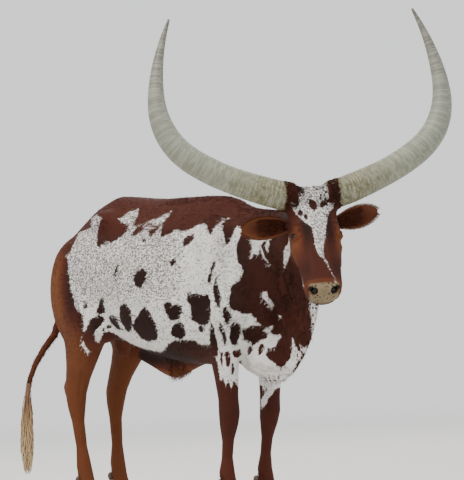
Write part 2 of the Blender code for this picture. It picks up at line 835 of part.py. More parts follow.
def cut_mouth(head):
    """Cuts the line of the lips and the nostrils into the muzzle."""
    points = mouth_path(head)
    bm = bmesh.new()
    loft(bm, bar_rings([(point, MOUTH_RADIUS) for point in points], MOUTH_SIDES))
    head = combine(head, finish(bm, "mouth"), "DIFFERENCE")
    frame = poll_frame(FACE_SLANT)
    for side in (-1, 1):
        bm = bmesh.new()
        place = swung(NOSTRIL.x, side * NOSTRIL.y, NOSTRIL.z)
        spheroid(bm, place, NOSTRIL_RADII, NOSTRIL_TILT, 12, 8, frame)
        head = combine(head, finish(bm, "nostril"), "DIFFERENCE")
    return head


def add_lock(bm, points, width, thickness, face):
    """A flat tapered lock of hair along a path, facing a direction."""
    rings = []
    last = len(points) - 1
    for i, point in enumerate(points):
        along = (points[min(i + 1, last)] - points[max(i - 1, 0)]).normalized()
        side = along.cross(face).normalized()
        out = side.cross(along)
        share = i / last
        swell = min(LOCK_ROOT + LOCK_SWELL * share, 1.0) * (1 - share**3) + LOCK_TIP
        rings.append(
            [
                point + side * width * swell,
                point + out * thickness * swell,
                point - side * width * swell,
                point - out * thickness * swell,
            ]
        )
    loft(bm, rings)


def tail_point(height):
    """The middle of the tail at a height, between its stations."""
    for (x, y, z, r), (x2, y2, z2, r2) in zip(TAIL, TAIL[1:]):
        if z >= height >= z2:
            share = (z - height) / (z - z2)
            return Vector((x, y, z)).lerp(Vector((x2, y2, z2)), share), r + (r2 - r) * share
    x, y, _, r = TAIL[-1]
    return Vector((x, y, height)), r


def lock_path(i, draw):
    """One lock's path down the switch, and the way it faces."""
    turn = i * LOCK_TURN + draw.uniform(-0.3, 0.3)
    out = Vector((math.cos(turn), math.sin(turn), 0))
    top = SWITCH_TOP - SWITCH_STAGGER * (i / SWITCH_LOCKS) - draw.uniform(0, 0.02)
    bottom = SWITCH_BOTTOM + draw.uniform(0.0, SWITCH_RAGGED)
    phase = draw.uniform(0, 2 * math.pi)
    points = []
    for k in range(LOCK_RINGS):
        share = k / (LOCK_RINGS - 1)
        middle, radius = tail_point(top + (bottom - top) * share)
        bulge = math.sin(math.pi * min(share * 0.8 + 0.08, 1))
        reach = radius * LOCK_SUNK * (1 - share) + LOCK_SPREAD * bulge
        sway = Vector((-out.y, out.x, 0)) * LOCK_SWAY * math.sin(phase + LOCK_WAVES * share)
        points.append(middle + out * reach + sway)
    return points, out


def make_switch(core):
    """The wavy locks at the tail's end, rooted round its bone and fused with it."""
    draw = random.Random(7)
    locks = bpy.data.collections.new("locks")
    bpy.context.scene.collection.children.link(locks)
    for i in range(SWITCH_LOCKS):
        points, out = lock_path(i, draw)
        bm = bmesh.new()
        add_lock(bm, points, LOCK_WIDTH * draw.uniform(0.8, 1.15), LOCK_THICKNESS, out)
        lock = finish(bm, "lock")
        bpy.context.scene.collection.objects.unlink(lock)
        locks.objects.link(lock)
    boolean = core.modifiers.new("fuse", "BOOLEAN")
    boolean.operation = "UNION"
    boolean.operand_type = "COLLECTION"
    boolean.collection = locks
    core = keep_largest(evaluated(core))
    for lock in list(locks.objects):
        bpy.data.objects.remove(lock)
    bpy.data.collections.remove(locks)
    return core


def make_tail():
    """The tail in three lengths, the last with the switch of hair."""
    bm = bmesh.new()
    loft(bm, bar_rings([(Vector((x, y, z)), radius) for x, y, z, radius in TAIL], TAIL_SIDES))
    root = tail = finish(bm, "tail_root")
    for name, cut in zip(("tail_middle", "tail_switch"), TAIL_CUTS):
        upper, tail = part_off(tail, name, prism(below(cut), -REACH, REACH))
        root = upper if name == "tail_middle" else root
    make_switch(tail)
    return [root]


def paint():
    """Each object's own material, by the kind of thing that it is."""
    for thing in bpy.context.scene.objects:
        kind = next((KINDS[start] for start in KINDS if thing.name.startswith(start)), "coat")
        colour, roughness = FINISHES[kind]
        material = bpy.data.materials.new(thing.name)
        material.use_nodes = True
        shader = material.node_tree.nodes["Principled BSDF"]
        channels = [int(colour[i : i + 2], 16) / 255 for i in (0, 2, 4)]
        linear = [c / 12.92 if c <= 0.04045 else ((c + 0.055) / 1.055) ** 2.4 for c in channels]
        shader.inputs["Base Color"].default_value = (*linear, 1)
        shader.inputs["Roughness"].default_value = roughness
        thing.data.materials.clear()
        thing.data.materials.append(material)


def centre_over_floor():
    """Moves the whole animal so that its box stands centred on the origin."""
    things = list(bpy.context.scene.objects)
    corners = [thing.matrix_world @ Vector(corner) for thing in things for corner in thing.bound_box]
    middle = [(max(c[i] for c in corners) + min(c[i] for c in corners)) / 2 for i in (0, 1)]
    for thing in things:
        thing.data.transform(Matrix.Translation((-middle[0], -middle[1], 0)))


def main():
    clear_scene()
    torso = flesh()
    torso.name = "torso"
    rooted = make_horns() + make_ears() + make_tail()
    for name in STANCE:
        rooted += make_dewclaws(name)
        make_claws(name)
    for piece in rooted:
        torso = socket(torso, piece)
    torso, head = part_off(torso, "head", prism(HEAD_REGION, -REACH, REACH, poll_frame(FACE_SLANT)))
    torso, _ = part_off(torso, "neck", prism(NECK_REGION, -REACH, REACH))
    torso = part_legs(torso)
    torso, _ = part_off(torso, "sheath", prism(SHEATH_REGION, -SHEATH_OUT, SHEATH_OUT))
    torso, _ = part_off(torso, "purse", prism(PURSE_REGION, -PURSE_OUT, PURSE_OUT))
    head = make_eyes(head)
    cut_mouth(head)
    paint()
    centre_over_floor()


main()
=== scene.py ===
import math
import random
import bmesh
import bpy
import numpy as np
from mathutils import Matrix, Vector
from mathutils.bvhtree import BVHTree


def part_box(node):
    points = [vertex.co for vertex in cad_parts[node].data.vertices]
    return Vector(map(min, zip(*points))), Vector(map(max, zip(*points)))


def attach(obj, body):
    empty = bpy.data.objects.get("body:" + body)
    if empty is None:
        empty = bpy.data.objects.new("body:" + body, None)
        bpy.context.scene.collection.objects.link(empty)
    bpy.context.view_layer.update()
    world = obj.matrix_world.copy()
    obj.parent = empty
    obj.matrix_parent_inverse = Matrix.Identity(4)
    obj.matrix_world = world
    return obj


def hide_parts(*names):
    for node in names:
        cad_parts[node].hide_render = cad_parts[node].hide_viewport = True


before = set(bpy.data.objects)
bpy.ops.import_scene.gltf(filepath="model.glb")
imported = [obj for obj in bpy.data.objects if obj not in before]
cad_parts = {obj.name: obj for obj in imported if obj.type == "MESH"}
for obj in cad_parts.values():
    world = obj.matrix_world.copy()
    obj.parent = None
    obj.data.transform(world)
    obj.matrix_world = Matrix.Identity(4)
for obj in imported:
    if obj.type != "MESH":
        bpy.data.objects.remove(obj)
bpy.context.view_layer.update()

# Where the head is: its frame's X comes out of the forehead, Y is its left and -Z runs down the face
headPlace = {
    "poll": Vector((1.070, -0.142, 1.362)), "turn": -35.0, "roll": 1.2, "slant": 35.0, "hornLean": 13.0,
    "eye": Vector((-0.038, 0.0859, -0.205)), "eyeRadius": 0.0215, "swing": 0.055,
}


def headFrame(slant=0.0):
    turn = Matrix.Rotation(math.radians(headPlace["turn"]), 4, "Z")
    roll = Matrix.Rotation(math.radians(headPlace["roll"]), 4, "X")
    tip = Matrix.Rotation(-math.radians(slant), 4, "Y")
    return Matrix.Translation(headPlace["poll"]) @ turn @ roll @ tip


def middleOf(node):
    low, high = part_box(node)
    return (low + high) / 2


# The sizes above are from the drawing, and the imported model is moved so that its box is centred
drawnEye = headPlace["eye"].copy()
drawnEye.y = -drawnEye.y
shift = middleOf("eye_right") - headFrame(headPlace["slant"]) @ drawnEye
headPlace["poll"] = headPlace["poll"] + shift
face = headFrame(headPlace["slant"])
print("moved from the drawing by", [round(v, 4) for v in shift])


def linear(code):  # an sRGB hex colour as linear light
    parts = [int(code[i : i + 2], 16) / 255 for i in (1, 3, 5)]
    return tuple(v / 12.92 if v <= 0.04045 else ((v + 0.055) / 1.055) ** 2.4 for v in parts) + (1.0,)


def plug(tree, node, sockets):  # puts links, numbers and hex colours into a node's inputs
    for name, value in sockets.items():
        if isinstance(value, bpy.types.NodeSocket):
            tree.links.new(value, node.inputs[name])
        else:
            node.inputs[name].default_value = linear(value) if isinstance(value, str) else value


def addNode(tree, kind, sockets=None, out=0, stops=(), **settings):  # adds a node and gives one of its outputs
    made = tree.nodes.new("ShaderNode" + kind)
    for name, value in settings.items():
        setattr(made, name, value)
    plug(tree, made, sockets or {})
    if stops:  # the colours along a ramp
        elements = made.color_ramp.elements
        elements[0].color, elements[1].color = linear(stops[0][1]), linear(stops[-1][1])
        for place, colour in stops[1:-1]:
            elements.new(place).color = linear(colour)
    return made.outputs[out]


def newMaterial(name):
    material = bpy.data.materials.new(name)
    material.use_nodes = True
    tree = material.node_tree
    shader = next(n for n in tree.nodes if n.type == "BSDF_PRINCIPLED")
    return material, tree, shader


def meshObject(name, bm, material=None, smooth=True):
    mesh = bpy.data.meshes.new(name)
    bm.to_mesh(mesh)
    bm.free()
    thing = bpy.data.objects.new(name, mesh)
    bpy.context.scene.collection.objects.link(thing)
    if material:
        mesh.materials.append(material)
    mesh.polygons.foreach_set("use_smooth", [smooth] * len(mesh.polygons))
    return thing


def applyModifiers(thing):
    graph = bpy.context.evaluated_depsgraph_get()
    mesh = bpy.data.meshes.new_from_object(thing.evaluated_get(graph))
    old = thing.data
    thing.modifiers.clear()
    thing.data = mesh
    bpy.data.meshes.remove(old)


def pointsOf(mesh, what="co"):
    values = np.empty(len(mesh.vertices) * 3, np.float32)
    mesh.vertices.foreach_get(what, values)
    return values.reshape(-1, 3).astype(float)


def setPoints(mesh, points):
    mesh.vertices.foreach_set("co", points.astype(np.float32).ravel())
    mesh.update()


def writeValues(mesh, name, values):  # one number for each vertex, for the materials to read
    mesh.attributes.new(name, "FLOAT", "POINT").data.foreach_set("value", values.astype(np.float32))


def ease(low, high, values):
    t = np.clip((values - low) / (high - low), 0, 1)
    return t * t * (3 - 2 * t)


# The camera stands where the photograph was taken from
camera = {"azimuth": 48.0, "roll": -2.5, "distance": 11.0, "height": 0.80, "lens": 186.2, "frame": (464, 480)}
camera["aim"] = (60.0, 92.0)  # pixels that the frame's middle lies right of and above the level line to the target


def placeCamera():
    angle = math.radians(camera["azimuth"])
    back = Vector((math.sin(angle), -math.cos(angle), 0))
    right = Vector((math.cos(angle), math.sin(angle), 0))
    level = Matrix((right, back.cross(right), back)).transposed() @ Matrix.Rotation(math.radians(camera["roll"]), 3, "Z")
    width = camera["frame"][0]
    focal = camera["lens"] / 36 * width
    ahead = level @ Vector((camera["aim"][0] / focal, camera["aim"][1] / focal, -1)).normalized()
    newBack = -ahead
    newRight = level.col[1].cross(newBack).normalized()
    turned = Matrix((newRight, newBack.cross(newRight), newBack)).transposed()
    place = Vector((shift.x, shift.y, camera["height"])) + back * camera["distance"]
    data = bpy.data.cameras.new("camera")
    data.sensor_fit, data.sensor_width, data.lens = "HORIZONTAL", 36, camera["lens"]
    data.clip_end = 2000
    thing = bpy.data.objects.new("camera", data)
    thing.matrix_world = Matrix.Translation(place) @ turned.to_4x4()
    bpy.context.scene.collection.objects.link(thing)
    bpy.context.scene.camera = thing
    camera["place"], camera["axes"], camera["focal"] = np.array(place), np.array(turned), focal


def toPhoto(points):  # where points show in the photograph, in its pixels
    seen = (points - camera["place"]) @ camera["axes"]
    width, height = camera["frame"]
    across = width / 2 + camera["focal"] * seen[:, 0] / -seen[:, 2]
    down = height / 2 - camera["focal"] * seen[:, 1] / -seen[:, 2]
    return np.stack([across, down], axis=1)


def rayThrough(across, down):  # from the camera through a pixel
    width, height = camera["frame"]
    ray = np.array([(across - width / 2) / camera["focal"], -(down - height / 2) / camera["focal"], -1.0])
    return Vector(camera["place"]), Vector(camera["axes"] @ ray).normalized()


placeCamera()


def makeStage():
    settings = {"radius": 260.0, "floor": ("#e2e0dc", "#e8e6e2"), "sky": "#f3f4f4", "skyStrength": 1.30,
                "fade": (2.2, 14.0)}  # how far out the floor turns into the sky
    bm = bmesh.new()
    bmesh.ops.create_circle(bm, cap_ends=True, segments=96, radius=settings["radius"])
    material, tree, shader = newMaterial("painted studio floor")  # matt paint: no gloss, a faint mottle
    place = addNode(tree, "TexCoord", out="Object")
    mottle = addNode(tree, "TexNoise", {"Vector": place, "Scale": 3.0, "Detail": 5.0})
    first, second = settings["floor"]
    tone = addNode(tree, "Mix", {0: mottle, 6: first, 7: second}, 2, data_type="RGBA")
    plug(tree, shader, {"Base Color": tone, "Roughness": 0.92, "Specular IOR Level": 0.2})
    distance = addNode(tree, "VectorMath", {0: place}, "Value", operation="LENGTH")
    low, high = settings["fade"]
    fade = addNode(tree, "MapRange", {0: distance, 1: low, 2: high}, interpolation_type="SMOOTHSTEP")
    glow = addNode(tree, "Emission", {"Color": settings["sky"], "Strength": settings["skyStrength"]})
    both = addNode(tree, "MixShader", {0: fade, 1: shader.outputs[0], 2: glow})
    plug(tree, next(n for n in tree.nodes if n.type == "OUTPUT_MATERIAL"), {"Surface": both})
    floor = meshObject("floor", bm, material, smooth=False)
    world = bpy.data.worlds.new("studio")
    world.use_nodes = True
    background = next(n for n in world.node_tree.nodes if n.type == "BACKGROUND")
    plug(world.node_tree, background, {"Color": settings["sky"], "Strength": settings["skyStrength"]})
    bpy.context.scene.world = world


def makeLights():
    lamps = (  # name, place from the animal's middle, size, power, colour
        ("key", (0.6, -3.0, 6.6), 3.6, 420, "#fff6ea"),
        ("fill", (6.5, 0.5, 3.6), 4.0, 20, "#eef4ff"),
        ("rim", (-4.0, 4.5, 5.0), 4.0, 120, "#ffffff"),
    )
    for name, place, size, power, colour in lamps:
        data = bpy.data.lights.new(name, "AREA")
        data.size, data.energy, data.color = size, power, linear(colour)[:3]
        lamp = bpy.data.objects.new(name, data)
        toward = Vector((0, 0, 0.9)) - Vector(place)
        lamp.matrix_world = Matrix.Translation(place) @ toward.to_track_quat("-Z", "Y").to_matrix().to_4x4()
        bpy.context.scene.collection.objects.link(lamp)


makeStage()
makeLights()
print("stage, lights and camera done")

# The skin is one surface made from copies of the solids of flesh
skinSettings = {
    "voxel": 0.0052, "swell": 0.0006, "passes": 42, "limbShare": 0.22,
    "triangles": 186000, "depth": 0.0030,
    "flesh": ["torso", "neck", "head", "sheath", "purse", "tail_root", "tail_middle"]
    + [f"{part}_{leg}_{side}" for part in ("upper", "lower") for leg in ("foreleg", "hindleg")
       for side in ("left", "right")],
}


def copyOfNode(name, swell=0.0):
    bm = bmesh.new()
    bm.from_mesh(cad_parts[name].data)
    bmesh.ops.remove_doubles(bm, verts=bm.verts, dist=0.00001)
    bm.normal_update()
    if swell:
        for vertex in bm.verts:
            vertex.co += vertex.normal * swell
    return bm


hornPath = (  # how far out and up the middle of a horn runs, and its radius, over the poll
    (0.078, -0.020, 0.062), (0.145, 0.001, 0.063), (0.200, 0.020, 0.062), (0.268, 0.045, 0.060),
    (0.346, 0.080, 0.058), (0.425, 0.122, 0.057), (0.498, 0.173, 0.056), (0.556, 0.233, 0.053),
    (0.594, 0.302, 0.049), (0.614, 0.376, 0.043), (0.618, 0.456, 0.036), (0.609, 0.543, 0.029),
    (0.591, 0.632, 0.021), (0.565, 0.720, 0.013), (0.533, 0.804, 0.005),
)
sides = (("right", -1), ("left", 1))


def eyeCentre(side):
    return face @ Vector((headPlace["eye"].x, side * headPlace["eye"].y, headPlace["eye"].z))


def fillSockets(bm):  # the skin runs on under the horns, eyes and ears, which are pieces of their own
    horn = headFrame(headPlace["hornLean"])
    for word, side in sides:
        balls = [(horn @ Vector((0, side * out * 0.94, rise)), radius * 0.93) for out, rise, radius in hornPath[:2]]
        balls.append((eyeCentre(side), headPlace["eyeRadius"] + 0.003))
        balls.append((headFrame() @ Vector((-0.022, side * 0.088, -0.134)), 0.030))  # the root of the ear
        for centre, radius in balls:
            bmesh.ops.create_icosphere(bm, subdivisions=3, radius=radius, matrix=Matrix.Translation(centre))


def skinForm():
    whole = bmesh.new()
    for name in skinSettings["flesh"]:
        part = copyOfNode(name, skinSettings["swell"])
        mesh = bpy.data.meshes.new("part")
        part.to_mesh(mesh)
        part.free()
        whole.from_mesh(mesh)
        bpy.data.meshes.remove(mesh)
    fillSockets(whole)
    skin = meshObject("skin", whole)
    remesh = skin.modifiers.new("remesh", "REMESH")
    remesh.mode, remesh.voxel_size = "VOXEL", skinSettings["voxel"]
    applyModifiers(skin)
    return skin


def weigh(thing, name, weights):
    group = thing.vertex_groups.new(name=name)
    levels = np.round(np.clip(weights, 0, 1) * 20).astype(int)
    for level in range(1, 21):
        group.add([int(i) for i in np.nonzero(levels == level)[0]], level / 20, "REPLACE")
    return group


def inFace(points):  # in the face's frame, with the muzzle's swing to the right taken out
    local = (points - np.array(face.translation)) @ np.array(face.to_3x3())
    local[:, 1] += headPlace["swing"] * np.maximum(headPlace["eye"].z - local[:, 2], 0)
    return local


def outOfFace(local):
    turned = local.copy()
    turned[:, 1] -= headPlace["swing"] * np.maximum(headPlace["eye"].z - local[:, 2], 0)
    return turned @ np.array(face.to_3x3()).T + np.array(face.translation)


def smoothSkin(skin):  # the body smoother than the head, limbs and tail, and the head with more faces
    points = pointsOf(skin.data)
    local = inFace(points)
    head = ease(-0.10, 0.0, local[:, 0] + 0.25) * ease(0.04, -0.06, local[:, 2])
    limb = 1 - ease(0.62, 0.80, points[:, 2])
    tail = ease(0.0, 0.03, -0.66 + shift.x - points[:, 0])
    small = np.maximum(np.maximum(head, limb), tail)
    weigh(skin, "body", 1 - small * (1 - skinSettings["limbShare"]))
    passes = skin.modifiers.new("smooth", "SMOOTH")
    passes.factor, passes.iterations = 0.5, skinSettings["passes"]
    passes.vertex_group = "body"
    weigh(skin, "thin", 1 - 0.9 * head)
    thin = skin.modifiers.new("thin", "DECIMATE")
    thin.ratio = min(1.0, skinSettings["triangles"] / (len(skin.data.polygons) * 2))
    thin.vertex_group = "thin"
    applyModifiers(skin)
    print("skin has", len(skin.data.vertices), "vertices")


# The coat's pattern, as outlines where the photograph shows them, in its pixels. Later ones lie over earlier ones.
bodyPattern = [
    ("white", [(68, 257), (72, 247), (79.5, 232), (91, 228), (92, 217), (97, 214.5), (103, 218.5), (113, 217.5),
               (120, 219), (127, 213), (132, 210.5), (139, 208), (138, 215), (133, 225), (141, 224), (148, 221),
               (160, 217), (172, 210.5), (168, 217), (163, 223), (160, 236), (164, 238.5), (170, 234), (176, 229),
               (186, 232), (196, 226), (204, 223), (208, 226), (207, 233), (211, 234), (216, 226), (222, 221),
               (230, 217.5), (233, 221), (238, 226), (246, 226), (244, 230), (238, 241), (236, 250), (238, 262),
               (243, 269), (243, 273), (240, 279), (236, 283), (231, 285), (230, 295), (229, 303), (231, 309),
               (236, 311), (243, 314), (251, 313), (256, 319), (260, 325), (266, 328), (271, 326), (275, 322),
               (273, 326), (270, 333), (280, 335), (281, 337), (277, 342), (276, 347), (268, 348), (266, 355),
               (269, 359), (276, 364), (280, 368), (284, 366), (290, 359), (292, 352), (292, 336), (295, 345),
               (299, 351), (302, 355), (297, 363), (294, 369), (290, 376), (287, 383), (275, 390), (256, 384),
               (246, 374), (245, 381), (242, 384), (240, 377), (238, 387), (234, 381), (231, 389), (228, 379),
               (226, 388), (223, 377), (220, 382), (218, 366), (215, 352), (213, 347), (208, 344), (202, 345),
               (195, 341), (191, 338), (187, 340), (177, 340), (171, 341), (168, 345), (163, 351), (160, 352),
               (145, 349), (133, 345), (125, 340), (117, 335), (109, 331), (103, 333), (99, 343), (95, 341),
               (86, 333), (83, 335), (84, 326), (83, 316), (79, 311), (76, 310), (74, 300), (70, 287), (69, 278),
               (68, 264)]),
    ("brown", [(97, 250), (97, 240), (98, 228), (101, 221), (103, 213), (113, 214), (121, 222), (129, 225),
               (127, 231), (117, 240), (110, 243), (106, 240), (101, 247)]),
    ("brown", [(130, 236), (135, 229), (147, 223), (153, 220), (150, 224.5), (141, 231), (136, 235)]),
    ("brown", [(137, 248), (143, 238), (150, 230.5), (160, 224.5), (158, 230), (150, 238), (142, 244)]),
    ("brown", [(222, 223), (224, 234), (225.5, 247), (230, 241), (235, 230), (239, 220), (231, 217)]),
    ("brown", [(182, 243), (186, 236), (194, 234), (193, 240), (187, 245), (184, 247)]),
    ("brown", [(169, 264), (172, 259), (176, 257), (176, 262), (172, 266)]),
    ("brown", [(133.5, 280), (134, 273), (139, 270), (141, 267.5), (147, 272), (146, 280), (142, 287), (136.5, 289),
               (135, 284)]),
    ("brown", [(113, 277), (116, 268), (121, 261.5), (119, 269), (115, 278)]),
    ("brown", [(207, 284), (208, 277), (211, 268), (213, 260.5), (216, 262), (213.5, 272), (210, 285)]),
    ("brown", [(213, 288), (215, 279), (218, 274), (217, 283), (219, 290), (222, 297), (220, 309), (216, 304),
               (214, 296)]),
    ("brown", [(222, 309), (226, 306), (232, 315), (231, 321), (228, 327), (224, 319)]),
    ("brown", [(187, 301), (187, 293), (190, 288.5), (193, 296), (196, 293), (200, 294), (203, 297), (207, 293),
               (210, 300), (211, 312), (210, 321), (206, 325), (198, 324.5), (192, 320), (191, 312), (190, 304)]),
    ("brown", [(198, 328), (201, 325.5), (205, 328), (202, 332.5), (199, 331.5)]),
    ("brown", [(163.5, 306), (167, 300.5), (171, 302), (172.5, 306), (178, 303.5), (182, 306), (182, 311),
               (180, 318), (175, 320), (171, 321.5), (167, 315), (165, 311)]),
    ("brown", [(170, 334), (173, 326), (177, 321.5), (183, 323), (185.5, 330), (185.5, 336), (180, 339),
               (174, 336.5)]),
    ("brown", [(133.5, 329), (134, 322), (138, 315), (141, 309), (145, 306.5), (149, 311), (153, 318), (156, 326),
               (158.5, 333), (157, 339.5), (151, 341.5), (143, 340.5), (138, 335)]),
    ("brown", [(119, 313), (120, 306), (125, 303.5), (130, 308), (131.5, 316), (132.5, 325), (130, 332.5),
               (126, 330), (121.5, 323)]),
    ("brown", [(108.5, 317), (113, 313.5), (118, 322), (122, 330.5), (117, 329), (112, 324)]),
    ("brown", [(96, 312.5), (99, 304), (101.5, 295.5), (104, 302), (105, 312.5), (100, 314.5)]),
    ("brown", [(82.5, 301), (86, 300.5), (88, 307), (85, 310), (83, 306)]),
    ("brown", [(89, 324), (91, 319), (97, 315.5), (103, 317), (105.5, 320), (101, 326), (96, 330), (94, 334),
               (96, 341), (92, 350), (84, 344), (82.5, 336), (86, 329)]),
    ("brown", [(103, 327.5), (105.5, 329), (104, 331.5), (101.5, 330)]),
    ("brown", [(106.5, 325), (111, 324.5), (111, 328), (107, 328.5)]),
    ("brown", [(211, 323), (213.5, 325), (216, 337), (218.5, 350), (217, 358), (213, 353), (209.5, 344),
               (210, 333)]),
    ("brown", [(230, 331), (231, 325), (236, 320.5), (241.5, 325), (241.5, 331), (239, 339), (236, 344.5),
               (232, 344.5), (229.5, 338)]),
    ("brown", [(242, 328), (248, 328), (252, 325), (258, 326), (264, 329), (268.5, 333), (267, 337.5), (260, 340.5),
               (254, 344.5), (250, 341.5), (244, 339), (242, 334)]),
    ("brown", [(247, 352), (249, 346), (252, 344), (252.5, 350), (249, 355.5)]),
    ("brown", [(257, 352), (259, 345), (262, 342.5), (264.5, 346), (262, 353.5), (259, 355.5)]),
    ("brown", [(219, 321), (223, 327), (226, 335), (227.5, 343), (225, 347), (222, 337), (219, 328)]),
    ("brown", [(232, 351), (240, 349), (241.5, 355), (238, 357.5), (234, 357.5)]),
    ("brown", [(225, 352), (229, 351), (230.5, 360), (230, 366), (226, 367)]),
    ("brown", [(239, 361), (241, 361), (242, 371), (240, 374), (238.5, 368)]),
    ("brown", [(232, 362), (234, 363), (234, 372), (231.5, 375)]),
    ("brown", [(220, 350), (222.5, 352), (223, 364), (221, 368)]),
    ("white", [(250, 231), (256, 236), (262, 236), (271, 236), (277, 235), (281, 234), (280, 243), (277, 238),
               (275, 242), (273, 238), (269, 241), (268.5, 253), (266.5, 250), (265, 241), (260, 246), (258, 256),
               (255, 253), (250, 260), (252, 248), (250.5, 240)]),
    ("white line", 0.9, [(260, 246), (264, 257), (268, 264), (270.5, 266)]),
    ("white", [(283.5, 234), (288, 231.5), (289.5, 238), (290.5, 250), (290.5, 256), (286.5, 263), (284.5, 270),
               (283.5, 258), (284, 245)]),
    ("white", [(261.5, 296), (263, 291.5), (266.5, 291.5), (268.5, 297), (271, 300), (274.5, 305), (272, 308.5),
               (268.5, 303), (264, 300)]),
    ("white line", 1.2, [(279, 315.5), (280, 317)]),
    ("white", [(309, 302), (318, 301), (319, 311), (317, 320), (320, 327), (320, 335), (315, 341), (312, 337),
               (313, 327), (311.5, 318), (311, 310)]),
    ("white", [(300, 344), (304, 347.5), (308, 346), (307, 353), (301, 353)]),
    ("white", [(81, 338.5), (84, 342), (86.5, 348), (90.5, 352), (87, 354), (83.5, 349), (81.5, 344)]),
    ("white", [(260.5, 399), (265, 393), (270, 387), (275, 385), (274, 391), (269, 398), (265, 406), (261, 411)]),
    ("white line", 0.6, [(66, 256), (69, 260)]),
]
headPattern = [
    ("white", [(291.5, 203), (292.5, 198), (298, 197), (304, 196), (305, 190), (301, 187), (303, 180), (327, 178),
               (328, 187), (332, 191), (336.5, 197), (334.5, 203), (332, 209), (329, 214), (327, 221), (326, 230),
               (325, 240), (323.5, 247), (323.5, 254), (325, 259), (320, 256.5), (316, 250), (315, 244), (313, 234),
               (312, 228), (308, 224), (304, 222), (300, 218), (296, 214), (293, 209)]),
    ("brown", [(308, 203), (310, 199.5), (315.5, 200.5), (317.5, 206), (315, 211.5), (311, 209)]),
    ("brown", [(319, 206), (321, 200.5), (326, 198.5), (329.5, 199.5), (327, 204.5), (322, 207.5)]),
    ("brown", [(297, 213), (299.5, 209), (303, 211), (302, 214.5), (299, 215.5)]),
    ("brown", [(303.5, 216), (306, 213.5), (308.5, 216.5), (306.5, 220.5)]),
    ("white line", 0.5, [(324, 258), (327, 263), (330, 270)]),
    ("white line", 0.2, [(330, 270), (334, 277), (336.5, 285)]),
    ("white line", 0.4, [(292, 259), (297, 270), (300, 278), (303, 287)]),
    ("white line", 0.9, [(300, 278), (303, 286)]),
]


def reachToLine(points, line):  # how far points are from a line of straight stretches, in a plane or in space
    best = np.full(len(points), 1e9)
    for start, end in zip(line, line[1:]):
        start, span = np.array(start), np.subtract(end, start)
        share = np.clip(((points - start) @ span) / (span @ span), 0, 1)
        best = np.minimum(best, np.linalg.norm(points - start - share[:, None] * span, axis=1))
    return best


def reachInside(pixels, outline):  # how far inside an outline points are, below 0 outside
    across, down = pixels.T
    inside = np.zeros(len(pixels), bool)
    for (x0, y0), (x1, y1) in zip(outline, outline[1:] + outline[:1]):
        if y0 != y1:
            inside ^= ((y0 > down) != (y1 > down)) & (across < (x1 - x0) * (down - y0) / (y1 - y0) + x0)
    best = reachToLine(pixels, outline + outline[:1])
    return np.where(inside, best, -best)


def drawPattern(outlines, pixels):  # above 0 where the coat is white, and how many pixels from the edge
    value = np.full(len(pixels), -12.0)
    for kind, *rest in outlines:
        if kind == "white":
            value = np.maximum(value, reachInside(pixels, rest[0]))
        elif kind == "brown":
            value = np.minimum(value, -reachInside(pixels, rest[0]))
        else:
            value = np.maximum(value, rest[0] - reachToLine(pixels, rest[1]))
    return np.clip(value, -12, 12)


coatSettings = {
    "neck": ((0.52, 0.66, 0.79, 0.90, 0.99, 1.045), (0.0, -0.012, -0.036, -0.070, -0.108, -0.132)),
    "dewlap": ((0.60, 0.71, 0.81, 0.905, 0.985, 1.066), (0.0, -0.005, -0.020, -0.045, -0.075, -0.110)),
    "dewlapTop": (0.95, 1.15), "legTop": (0.72, 0.84), "wander": 0.075, "pixel": 0.0046,  # metres to a pixel
    "rumpLine": -0.515, "rumpLean": 0.10, "behindJaw": 290.3, "darkPoll": 0.06,
}
coatWords = ("pied", "tone", "roan", "coarse", "bare", "dark")


def toward(values, target, share):
    return values * (1 - share) + target * share


def middleAt(x, z):  # where the animal's middle lies, as its neck turns with the head
    above, below = (np.interp(x, *coatSettings[word]) for word in ("neck", "dewlap"))
    return toward(below, above, ease(*coatSettings["dewlapTop"], z))


def headness(local):
    return ease(-0.30, -0.20, local[:, 0]) * ease(0.06, 0.02, local[:, 2])


def farPattern(points, x, z, over):  # the near side's pattern, mirrored and wandering off, for the unseen side
    amount = coatSettings["wander"] * ease(0.03, 0.22, over)
    mirrored = points.copy()
    mirrored[:, 1] -= 2 * over
    mirrored[:, 0] += amount * (np.sin(5.3 * x + 1.1) + 0.7 * np.sin(9.0 * z + 0.4))
    mirrored[:, 2] += amount * (0.8 * np.sin(6.1 * x + 2.0) - 0.6 * np.sin(8.0 * z + 2.6 * x))
    return drawPattern(bodyPattern, toPhoto(mirrored))


def rumpEdge(x, y, z, share):  # how many pixels a point is in front of the white's wavy edge at the rump
    wave = 0.020 * np.sin(23 * z + 5 * y) + 0.014 * np.sin(57 * z + 17 * y) + 0.010 * np.sin(31 * y)
    wave += share * (0.06 * np.sin(9 * z + 0.5) + 0.035 * np.sin(21 * z + 6 * y + 1.0))
    line = coatSettings["rumpLine"] + coatSettings["rumpLean"] * (z - 1.0)
    return (x - line + wave) / coatSettings["pixel"]


